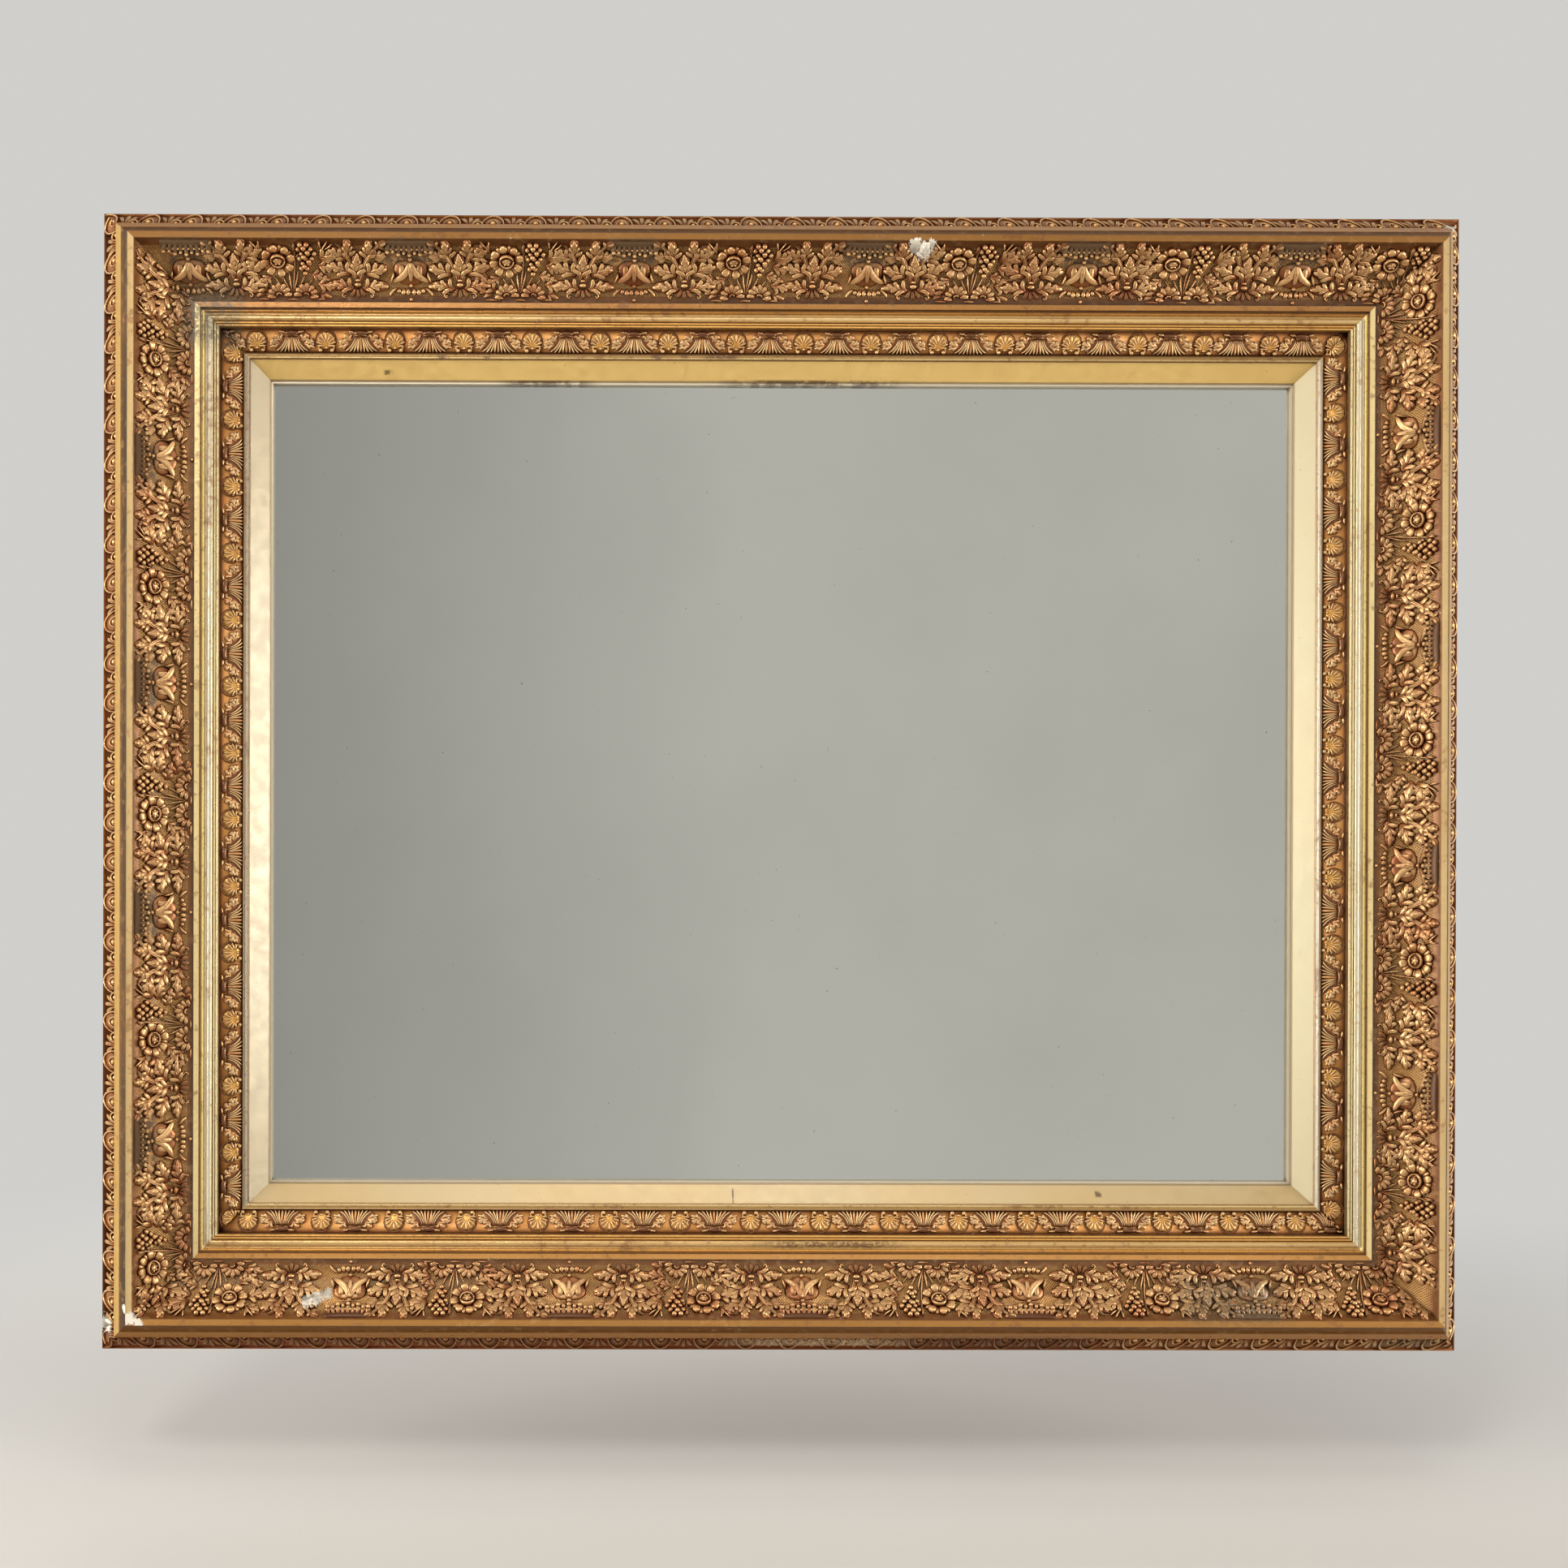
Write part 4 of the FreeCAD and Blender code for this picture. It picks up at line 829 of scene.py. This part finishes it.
# Tones of the mouldings by distance in millimetres in from the frame's outer edge, first on the level and
# then on the upright rails: fillet, hollow, crest, hatched cove, inner fillet, groove, torus, beads, step.
# Much of it is painted light: highlights on the torus, the beads and the step, and shade, with some dirt, in
# the hollow, plus shade at the cove's edges, in the groove and in the lines between beads and beside the
# step; the upright copies are painted lighter on most bands and darker in the hollow.
MOULDING_TONES = (
    (17, (176, 116, 46), (192, 152, 76)), (25.6, (182, 124, 52), (200, 160, 84)),
    (26.4, (112, 70, 30), (108, 72, 34)), (31, (124, 82, 36), (70, 50, 24)),
    (37.2, (104, 62, 24), (46, 30, 14)), (38.4, (166, 118, 60), (192, 164, 114)),
    (43.4, (170, 122, 64), (200, 170, 120)), (44.2, (101, 62, 32), (101, 62, 34)),
    (48, (130, 82, 42), (130, 82, 42)), (52, (208, 150, 84), (208, 150, 84)),
    (80, (202, 142, 76), (202, 142, 76)), (88, (126, 80, 40), (126, 80, 40)),
    (93.6, (83, 52, 28), (83, 52, 28)), (94.4, (212, 154, 84), (255, 234, 172)),
    (98.8, (204, 146, 76), (255, 222, 156)), (99.3, (83, 52, 24), (83, 52, 24)),
    (100.7, (215, 153, 69), (255, 228, 140)), (102.6, (213, 151, 70), (255, 226, 142)),
    (103.4, (214, 170, 100), (234, 212, 166)), (105, (216, 180, 118), (214, 204, 172)),
    (107.5, (222, 190, 134), (232, 224, 202)), (110.4, (208, 166, 101), (213, 198, 158)),
    (111.6, (101, 66, 32), (101, 66, 32)), (112.6, (248, 184, 92), (250, 230, 168)),
    (114.1, (106, 72, 35), (106, 72, 35)), (115.3, (252, 192, 100), (255, 238, 180)),
    (116.7, (94, 63, 32), (94, 63, 32)), (138.2, (132, 97, 53), (132, 97, 53)),
    (140.6, (202, 166, 104), (234, 228, 208)), (142, (250, 224, 160), (248, 244, 222)),
    (143.8, (135, 97, 53), (135, 97, 53)),
)
# Metallic share, roughness, clear coat and specular level of the mouldings, by distance in millimetres.
MOULDING_BANDS = (
    ((17, 0.35), (26, 0.3), (38, 0.2), (44, 0.2), (46, 0.35), (94, 0.4), (144, 0.4)),
    (
        (17, 0.3), (37.5, 0.34), (38, 0.5), (44, 0.5), (46, 0.36), (103, 0.3), (105, 0.2), (111, 0.2),
        (112, 0.3),
    ),
    ((17, 0.04), (44, 0.04), (46, 0.12), (94, 0.22), (144, 0.26)),
    ((17, 0.2), (44, 0.2), (46, 0.4), (144, 0.5)),
)


def sooty_spans():
    """Stretches round the lappets of the top and left rails, given as the worn stretches are."""
    wide, tall = HALF_WIDTH / MM, HALF_HEIGHT / MM
    near, far = 44, 62
    across = [share * 2 * wide for share in PALMETTE_SHARES["top"]]
    upward = [share * 2 * tall for share in PALMETTE_SHARES["left"]]
    top = [(x - 24, x + 24, tall - far, tall - near) for x in across]
    return top + [(near - wide, far - wide, z - 27, z + 27) for z in upward]


def gilding(name, ornament):
    """Old gilding over red-brown clay: rubbed crowns with painted highlights, dirt and painted shade in the
    hollows, chips of white gesso, and on the mouldings painted highlights and shade by band and by rail.
    """
    shades = colours()
    gilt = Finish(name)
    lay, ramp, times = gilt.lay, gilt.ramp, gilt.times
    inward, parts, upright = gilt.section()
    share = gilt.sum("DIVIDE", inward, RAIL_WIDTH * MM)
    broad = gilt.noise(9.0, 3.0)
    fine = gilt.noise(130.0, 5.0, 0.6)
    speck = gilt.noise(520.0, 3.0, 0.65)
    shut = gilt.hollows(0.0065 if ornament else 0.008)
    cove = gilt.band(inward, 0.044, 0.046, 0.0935, 0.0945)
    normal = gilt.bump(gilt.plus(fine, times(speck, 0.5)), 0.0006, 0.5)
    smoked = times(gilt.patch(sooty_spans(), parts, fine), 0.9)
    if ornament:
        relief, crest, soot, blush = (
            gilt.node("ShaderNodeAttribute", attribute_name=word).outputs["Fac"] for word in CARVED_LAYERS
        )
        soot = gilt.most(soot, smoked)
        high = ramp(gilt.sum("DIVIDE", relief, ramp(cove, 0.0, 1.0, 2.2, 5.0)), 0.1, 0.9, 0.55, 1.0)
        crown = gilt.plus(times(crest, high), times(gilt.less(fine, 0.5), 0.7))
        edge = ramp(inward, 0.027, 0.025)
        gilt.base = gilt.mix(ramp(blush, -1.0, 1.0), shades.gold, tone(214, 150, 92))
        lay(tone(150, 94, 46), edge, 0.9)
        lay(shades.aged, cove, 0.85)
        # Painted shade on the flanks and low parts of each shape, where its crest is low.
        lay(tone(78, 44, 21), ramp(crest, 0.4, 0.02, 0.0, 0.88))
        # Painted highlight: the crests of the castings are painted pale, partly rubbed gold and partly the
        # light that catches them.
        pale = gilt.mix(cove, gilt.mix(edge, tone(222, 184, 130), tone(238, 194, 134)), tone(228, 182, 124))
        lay(pale, ramp(crown, 0.34, 0.74, 0.0, 0.95))
        # Painted shade: the bottom rail's leaf edge is painted darker over most of its length.
        low = ramp(parts[2], -0.5, -0.525, 0.0, 0.6)
        lay(tone(112, 58, 32), edge, low, ramp(parts[0], 0.34, 0.28))
        lay(shades.bole_and_shade, ramp(gilt.plus(fine, times(broad, 0.4)), 0.76, 0.92), 0.5)
        blotches = ramp(gilt.noise(24.0, 3.0), 0.46, 0.68, 0.0, 0.6)
        lay(tone(206, 158, 136), blotches, ramp(cove, 0.0, 1.0, 0.4, 1.0), blend="MULTIPLY")
        # Dirt and painted shade in the castings' hollows, deepening with ambient occlusion.
        lay(shades.bole_and_shade, ramp(shut, 0.9, 0.45, 0.0, 0.9))
        lay(shades.dirt_and_shade, ramp(shut, 0.58, 0.18, 0.0, 0.94))
        lay(shades.soot, soot, ramp(crown, 0.52, 0.86, 0.97, 0.15))
        metallic = times(ramp(shut, 0.3, 0.85, 0.15, 0.5), gilt.without(times(soot, 0.8)))
        rough = gilt.plus(times(fine, 0.2), ramp(shut, 0.9, 0.4, 0.2, 0.5))
        rough = gilt.plus(rough, gilt.plus(times(soot, 0.4), ramp(relief, 0.3, 0.0, 0.0, 0.3)))
        dull = gilt.most(soot, times(edge, 0.8))
        open_share = times(gilt.without(dull), ramp(shut, 0.3, 0.8))
        gloss = times(open_share, 0.2)
        shine = ramp(open_share, 0.0, 1.0, 0.08, 0.5)
    else:
        level, standing = (
            gilt.stops(share, [(row[0] / RAIL_WIDTH, tone(*row[kind])) for row in MOULDING_TONES])
            for kind in (1, 2)
        )
        # The upright rails take their own copy of the tones, painted lighter on most bands and darker in the
        # hollow, for how light falls on them.
        gilt.base = gilt.mix(upright, level, standing)
        lay(tone(164, 116, 56), ramp(broad, 0.4, 0.75, 0.0, 0.25))
        lay(shades.rubbed, ramp(fine, 0.5, 0.75, 0.0, 0.22))
        lay(shades.bole_and_shade, ramp(gilt.plus(fine, times(broad, 0.5)), 0.8, 0.95), 0.5)
        # Painted shade, with some dirt, in the corners of the mouldings.
        lay(tone(88, 48, 20), ramp(shut, 0.66, 0.2, 0.0, 0.88))
        # Painted shade: the top rail is darker from its hollow to its groove and on its step, the left rail
        # on its step, and the right rail on its outer fillet and hollow.
        on_top = times(ramp(parts[2], -0.3, 0.3), gilt.without(upright))
        on_left = times(ramp(parts[0], 0.3, -0.3), upright)
        on_right = times(ramp(parts[0], -0.3, 0.3), upright)
        round_frieze = gilt.most(ramp(inward, 0.105, 0.103), ramp(inward, 0.137, 0.139))
        round_frieze = times(round_frieze, ramp(inward, 0.0262, 0.0266))
        lay(tone(212, 206, 196), on_top, round_frieze, blend="MULTIPLY")
        lay(tone(190, 180, 168), on_left, ramp(inward, 0.138, 0.14), blend="MULTIPLY")
        lay(tone(216, 212, 200), on_right, ramp(inward, 0.0378, 0.0374), blend="MULTIPLY")
        turn = math.tau / sizes().diaper_pitch * math.sqrt(0.5)
        rising, falling = (
            gilt.sum("SINE", times(gilt.sum(way, parts[0], parts[2]), turn)) for way in ("ADD", "SUBTRACT")
        )
        within = gilt.band(inward, 0.0475, 0.0495, 0.087, 0.0885)
        hatched = times(gilt.most(rising, falling), within)
        lay(tone(222, 178, 112), ramp(hatched, 0.1, 0.9, 0.0, 0.6))
        lay(tone(132, 76, 38), within, ramp(hatched, 0.1, -0.3, 0.0, 0.4))
        normal = gilt.bump(hatched, 0.0005, 1.0, normal)
        lay(shades.soot, smoked)
        metallic, rough, gloss, shine = (gilt.banded(share, bands) for bands in MOULDING_BANDS)
        rough = gilt.plus(rough, times(gilt.less(fine, 0.5), 0.25))
    torn = gilt.noise(340.0, 4.0, 0.75)
    lay(tone(232, 208, 166), gilt.patch(PALE_WEAR, parts, torn), 0.6)
    grey = times(gilt.patch(GREY_WEAR, parts, torn), 0.8)
    lay(tone(98, 86, 64), grey)
    stained = times(gilt.patch(DARK_STAINS, parts, torn), 0.85)
    lay(tone(92, 56, 32), stained)
    dirty = gilt.most(grey, gilt.most(stained, smoked))
    chipped = gilt.most(gilt.near(LOSSES, torn), ramp(times(speck, fine), 0.47, 0.5))
    lay(shades.gesso, chipped)
    return gilt.dress({
        "Metallic": times(metallic, gilt.without(dirty), gilt.without(chipped)), "Roughness": rough,
        "Specular IOR Level": shine, "Coat Weight": gloss, "Coat Roughness": 0.3, "Normal": normal,
    })


def slip_gilding(name):
    """Burnished gold of the sight slip, with stains, a paler lip, painted shade in its corners and along the
    lip, and tones painted by side for how light falls.
    """
    gilt = Finish(name)
    lay, ramp, times = gilt.lay, gilt.ramp, gilt.times
    inward, parts, upright = gilt.section()
    fine = gilt.noise(90.0, 5.0, 0.6)
    gilt.base = gilt.mix(ramp(gilt.noise(7.0, 3.0), 0.35, 0.7), colours().slip, tone(204, 176, 126))
    # Painted light by side: the top rail's slip a stronger yellow, the left's greyer and darker, the right's
    # paler.
    lay(tone(238, 202, 126), ramp(parts[2], 0.3, 0.32), gilt.without(upright))
    lay(tone(146, 140, 124), upright, ramp(parts[0], 0.3, -0.3, 0.0, 0.7))
    lay(tone(194, 188, 160), upright, ramp(parts[0], -0.3, 0.3, 0.0, 0.7))
    lay(tone(196, 156, 96), ramp(fine, 0.62, 0.8, 0.0, 0.3))
    lay(colours().dirt_and_shade, ramp(gilt.noise(420.0, 2.0), 0.72, 0.78, 0.0, 0.5))
    lay(tone(216, 204, 178), ramp(inward, 0.1605, 0.1612))
    # Painted shade in the slip's corners.
    lay(tone(124, 92, 50), ramp(gilt.hollows(0.006), 0.85, 0.35, 0.0, 0.8))
    # Painted shade: a dark line along the lip's wall.
    lay(tone(132, 108, 72), gilt.band(inward, 0.1596, 0.1602, 0.1608, 0.1612), 0.75)
    lay(tone(84, 62, 36), gilt.patch(SLIP_STAINS, parts, fine), 0.8)
    return gilt.dress({
        "Metallic": ramp(fine, 0.2, 0.8, 0.45, 0.3), "Roughness": ramp(fine, 0.2, 0.8, 0.32, 0.46),
        "Coat Weight": 0.35, "Coat Roughness": 0.2, "Normal": gilt.bump(fine, 0.0006, 0.25),
    })


def silvered_glass(name):
    """Old silvered glass with faint haze and specks."""
    glass = Finish(name)
    haze = glass.noise(3.2)
    glass.base = glass.mix(glass.ramp(haze, 0.3, 0.75), tone(200, 201, 195), tone(193, 194, 188))
    glass.lay(tone(80, 76, 68), glass.ramp(glass.noise(160.0, 2.0, 0.7), 0.74, 0.8, 0.0, 0.5))
    return glass.dress({"Metallic": 1.0, "Roughness": glass.ramp(haze, 0.3, 0.8, 0.03, 0.09)})


def pine(name, shade, upright):
    """Bare softwood with its grain along the piece, blotched, and darker in the corners."""
    wood = Finish(name)
    stretch = (14.0, 14.0, 1.0) if upright else (1.0, 14.0, 14.0)
    along = wood.node("ShaderNodeMapping", {"Vector": wood.object, "Scale": stretch}).outputs[0]
    grain = wood.noise(6.0, 6.0, 0.65, 0.6, vector=along)
    fibre = wood.noise(60.0, 4.0, 0.7, vector=along)
    dark = (*(part * 0.5 for part in shade[:3]), 1.0)
    wood.base = wood.mix(wood.ramp(grain, 0.35, 0.62), shade, dark)
    wood.lay(dark, wood.ramp(fibre, 0.45, 0.75, 0.0, 0.45))
    wood.lay(tone(96, 74, 54), wood.ramp(wood.noise(5.0, 3.0), 0.45, 0.75, 0.0, 0.4))
    wood.lay(tone(44, 34, 26), wood.ramp(wood.hollows(0.02), 0.7, 0.3, 0.0, 0.8))
    return wood.dress({
        "Roughness": wood.ramp(fibre, 0.2, 0.8, 0.62, 0.85),
        "Normal": wood.bump(wood.plus(grain, fibre), 0.001, 0.5),
    })


def metal(name, bright, dull, rough):
    """Screws, nails and hangers: tarnished, darker in the recesses."""
    worn = Finish(name)
    tarnish = worn.noise(180.0, 5.0, 0.65)
    worn.base = worn.mix(worn.ramp(tarnish, 0.35, 0.65), bright, dull)
    worn.lay(tone(38, 30, 22), worn.ramp(worn.hollows(0.004), 0.8, 0.3, 0.0, 0.8))
    return worn.dress({
        "Metallic": worn.ramp(tarnish, 0.4, 0.7, 0.95, 0.6),
        "Roughness": worn.ramp(tarnish, 0.3, 0.7, rough, rough + 0.25),
        "Normal": worn.bump(tarnish, 0.0004, 0.4),
    })


def coat(names, material):
    """Gives CAD nodes their finish."""
    for name in names:
        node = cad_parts[name]
        node.data.materials.clear()
        node.data.materials.append(material)


class SetCamera(bpy.types.Operator):
    """Places the camera where the photograph was taken from"""

    bl_idname = "mirror.set_camera"
    bl_label = "Camera"

    def execute(self, context):
        yaw, pitch, roll = (math.radians(turn) for turn in CAMERA_TURNS)
        ahead = Vector((-math.cos(pitch) * math.sin(yaw), math.cos(pitch) * math.cos(yaw), math.sin(pitch)))
        right = Vector((math.cos(yaw), math.sin(yaw), 0.0))
        up = Vector((math.sin(pitch) * math.sin(yaw), -math.sin(pitch) * math.cos(yaw), math.cos(pitch)))
        level_right = right * math.cos(roll) + up * math.sin(roll)
        level_up = up * math.cos(roll) - right * math.sin(roll)
        data = bpy.data.cameras.new("camera")
        data.sensor_width = SENSOR_WIDTH
        data.lens = FOCAL_PIXELS / PHOTO_PIXELS * SENSOR_WIDTH
        data.shift_x = 0.5 - STRAIGHT_AHEAD[0] / PHOTO_PIXELS
        data.shift_y = STRAIGHT_AHEAD[1] / PHOTO_PIXELS - 0.5
        data.clip_end = 50.0
        camera = bpy.data.objects.new("camera", data)
        axes = Matrix((level_right, level_up, -ahead)).transposed()
        camera.matrix_world = Matrix.Translation(CAMERA_PLACE) @ axes.to_4x4()
        context.scene.collection.objects.link(camera)
        context.scene.camera = camera
        return {"FINISHED"}


class SetStage(bpy.types.Operator):
    """Lays the pale floor and hangs the soft lamps"""

    bl_idname = "mirror.set_stage"
    bl_label = "Stage"

    def execute(self, context):
        self.lay_floor(context.scene)
        for name, place, size, power, shade in LAMPS:
            data = bpy.data.lights.new(name, "AREA")
            data.shape = "SQUARE"
            data.size = size
            data.energy = power
            data.color = shade
            lamp = bpy.data.objects.new(name, data)
            lamp.location = place
            lamp.visible_camera = False
            lamp.rotation_euler = (-Vector(place)).to_track_quat("-Z", "Y").to_euler()
            context.scene.collection.objects.link(lamp)
        self.light_world(context.scene)
        context.scene.view_settings.view_transform = "Standard"
        return {"FINISHED"}

    def lay_floor(self, scene):
        """A plain floor that fades into the pale background away from the frame."""
        bm = bmesh.new()
        bmesh.ops.create_grid(bm, x_segments=1, y_segments=1, size=FLOOR_REACH)
        bmesh.ops.translate(bm, verts=bm.verts, vec=(0, 0, CAD_LOW.z - FLOOR_DROP))
        mesh = bpy.data.meshes.new("floor")
        bm.to_mesh(mesh)
        bm.free()
        floor = bpy.data.objects.new("floor", mesh)
        scene.collection.objects.link(floor)
        paint = Finish("floor")
        paint.base = paint.mix(paint.noise(2.0), colours().floor, tone(210, 208, 204))
        rays = paint.node("ShaderNodeLightPath").outputs
        mirrored = paint.most(rays["Is Glossy Ray"], rays["Is Transmission Ray"])
        seen = paint.most(rays["Is Camera Ray"], mirrored)
        fade = paint.times(seen, paint.ramp(paint.vector("LENGTH", {0: paint.object})["Value"], 0.75, 2.2))
        glow = paint.node("ShaderNodeEmission", {"Color": BACKGROUND}).outputs[0]
        both = paint.node("ShaderNodeMixShader", {0: fade, 1: paint.shader.outputs[0], 2: glow}).outputs[0]
        paint.feed(paint.tree.nodes["Material Output"].inputs["Surface"], both)
        mesh.materials.append(paint.dress({"Roughness": 0.9}))
        floor.visible_glossy = False

    def light_world(self, scene):
        """Plain soft surroundings: the camera sees the pale background, the glass and the gold see greys."""
        world = bpy.data.worlds.new("studio")
        world.use_nodes = True
        scene.world = world
        sky = Graph(world.node_tree)
        rays = sky.node("ShaderNodeLightPath").outputs
        seen = sky.most(rays["Is Camera Ray"], rays["Is Transmission Ray"])
        direction = sky.node("ShaderNodeTexCoord").outputs["Generated"]
        parts = sky.node("ShaderNodeSeparateXYZ", {0: direction}).outputs
        across, below, above = (
            sky.node("ShaderNodeMapRange", {0: parts[axis], 1: first, 2: last}).outputs[0]
            for axis, first, last in ((0, -1.0, 1.0), (2, -0.3, -0.8), (2, 0.35, 0.9))
        )
        shade = sky.stops(across, [(place, tone(*grey)) for place, grey in ROOM_TONES])
        shade = sky.mix(below, shade, tone(120, 102, 82))
        shade = sky.mix(above, shade, tone(168, 162, 152))
        shade = sky.mix(rays["Is Glossy Ray"], (0.3, 0.3, 0.305, 1), shade)
        shade = sky.mix(seen, shade, BACKGROUND)
        sky.feed(sky.tree.nodes["Background"].inputs["Color"], shade)


class LayFinishes(bpy.types.Operator):
    """Gives every solid of the frame its finish"""

    bl_idname = "mirror.lay_finishes"
    bl_label = "Finishes"

    def execute(self, context):
        shades = colours()
        mouldings = [f"{kind}_{side}" for kind in ("cove_rail", "inner_moulding") for side in SIDES]
        coat(mouldings, gilding("rail_gilding", False))
        coat([f"sight_slip_{side}" for side in SIDES], slip_gilding("slip_gilding"))
        coat(["mirror_glass"], silvered_glass("silvered_glass"))
        coat(["back_rail_top", "back_rail_bottom"], pine("raw_pine_level", shades.pine, False))
        uprights = ["back_rail_left", "back_rail_right", "glass_blocks"]
        coat(uprights, pine("raw_pine_upright", shades.pine, True))
        coat([f"backboard_{index}" for index in range(1, 6)], pine("back_boards", shades.boards, True))
        iron = metal("iron", tone(118, 112, 106), tone(84, 58, 42), 0.45)
        coat(["lap_screws", "board_nails", "hanger_screws"], iron)
        brass = metal("hanger_brass", tone(186, 148, 84), tone(112, 84, 48), 0.32)
        coat([f"hanger_{part}_{side}" for part in ("strap", "ring") for side in ("left", "right")], brass)
        return {"FINISHED"}


class CarveLeafEdges(bpy.types.Operator):
    """Carves the arches and crossed leaves along the outer slope"""

    bl_idname = "mirror.carve_leaf_edges"
    bl_label = "Leaf edges"

    def execute(self, context):
        rng = random.Random(SEED)
        relief = sizes().leaf_relief / MM
        half_step = sizes().leaf_pitch / MM / 2
        arch, fan = drawn(leaf_arch, relief), drawn(leaf_fan, relief)
        for side in SIDES:
            laid = []
            for place in run_of(side, sizes().leaf_pitch, LEAF_RUNS[side]):
                spot = place + rng.uniform(-0.4, 0.4)
                laid.append((arch, spot, 1, rng.uniform(0.97, 1.02), 0.0, rng.uniform(-1, 1)))
                laid.append((fan, place - half_step, 1, rng.uniform(0.97, 1.02), 0.0, rng.uniform(-1, 1)))
            piece = carved(f"carved_leaf_edge_{side}", side, LEAF_GROUND, laid, LEAF_STRIP, LEAF_CRESTS)
            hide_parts(f"leaf_edge_{side}")
        return {"FINISHED"}


class PressShellFriezes(bpy.types.Operator):
    """Lays the shells and reed sprays in the inner band"""

    bl_idname = "mirror.press_shell_friezes"
    bl_label = "Shell friezes"

    def execute(self, context):
        rng = random.Random(SEED + 1)
        relief = sizes().shell_relief / MM
        half_step = sizes().shell_pitch / MM / 2
        fan, pair = drawn(shell, relief), drawn(reeds, relief)
        for side in SIDES:
            laid = []
            for place in run_of(side, sizes().shell_pitch, SHELL_RUNS[side]):
                laid.append((fan, place, 1, rng.uniform(0.97, 1.02), 0.0, -0.9))
                laid.append((pair, place - half_step, 1, rng.uniform(0.97, 1.02), 0.0, rng.uniform(0.2, 0.8)))
            name = f"pressed_shell_frieze_{side}"
            piece = carved(name, side, FRIEZE_GROUND, laid, FRIEZE_STRIP, FRIEZE_CRESTS)
            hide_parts(f"shell_frieze_{side}")
        return {"FINISHED"}


class PressCoveCastings(bpy.types.Operator):
    """Lays the bouquets, acanthus sprays, palmettes and lappets in the cove"""

    bl_idname = "mirror.press_cove_castings"
    bl_label = "Cove castings"

    def execute(self, context):
        rng = random.Random(SEED + 2)
        relief = sizes().casting_relief / MM
        bunch, acanthus, heart, drape = (drawn(make, relief) for make in (bouquet, spray, palmette, lappet))
        for side in SIDES:
            whole = half_across(side)[1] * (-2 if side in ("right", "bottom") else 2)
            # A bouquet's volutes stand a little beside its flower.
            roots = [share * whole + 12.5 for share in FLOWER_SHARES[side]]
            hearts = [share * whole for share in PALMETTE_SHARES[side]]
            laid = []
            for place in roots:
                laid.append((bunch, place, 1, rng.uniform(0.97, 1.03), 0.0, rng.uniform(-0.6, 0.6)))
                for away in (-1, 1):
                    beyond = [h for h in hearts if 0 < (h - place) * away < 160]
                    mate = min(beyond, key=lambda h: abs(h - place)) if beyond else place + away * 104
                    spot = place + (mate - place) * 0.55
                    laid.append((acanthus, spot, away, rng.uniform(0.94, 1.0), 0.0, rng.uniform(-0.6, 0.8)))
            for place in hearts:
                laid.append((heart, place, 1, rng.uniform(0.97, 1.04), 0.0, rng.uniform(-0.3, 0.8)))
                laid.append((drape, place, 1, rng.uniform(0.95, 1.05), SOOT_SHARES[side], 0.0))
            piece = carved(f"cove_castings_{side}", side, COVE_GROUND, laid)
            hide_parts(f"cove_ornament_{side}")
        return {"FINISHED"}


class MirrorPanel(bpy.types.Panel):
    """Sizes, colours and steps of the mirror"""

    bl_idname = "VIEW3D_PT_giltwood_mirror"
    bl_label = "Giltwood mirror"
    bl_space_type = "VIEW_3D"
    bl_region_type = "UI"
    bl_category = "Mirror"

    def draw(self, context):
        for group in (context.scene.mirror_sizes, context.scene.mirror_colours):
            box = self.layout.box()
            for name in group.__annotations__:
                box.prop(group, name)
        for step in STEPS:
            self.layout.operator(step.bl_idname)


STEPS = (SetCamera, SetStage, LayFinishes, CarveLeafEdges, PressShellFriezes, PressCoveCastings)
CLASSES = (MirrorSizes, MirrorColours, *STEPS, MirrorPanel)


def register():
    for kind in CLASSES:
        bpy.utils.register_class(kind)
    bpy.types.Scene.mirror_sizes = bpy.props.PointerProperty(type=MirrorSizes)
    bpy.types.Scene.mirror_colours = bpy.props.PointerProperty(type=MirrorColours)


def unregister():
    del bpy.types.Scene.mirror_colours
    del bpy.types.Scene.mirror_sizes
    for kind in reversed(CLASSES):
        bpy.utils.unregister_class(kind)


def main():
    register()
    bpy.ops.mirror.set_camera()
    bpy.ops.mirror.set_stage()
    bpy.ops.mirror.lay_finishes()
    bpy.ops.mirror.carve_leaf_edges()
    bpy.ops.mirror.press_shell_friezes()
    bpy.ops.mirror.press_cove_castings()


if __name__ == "__main__":
    main()
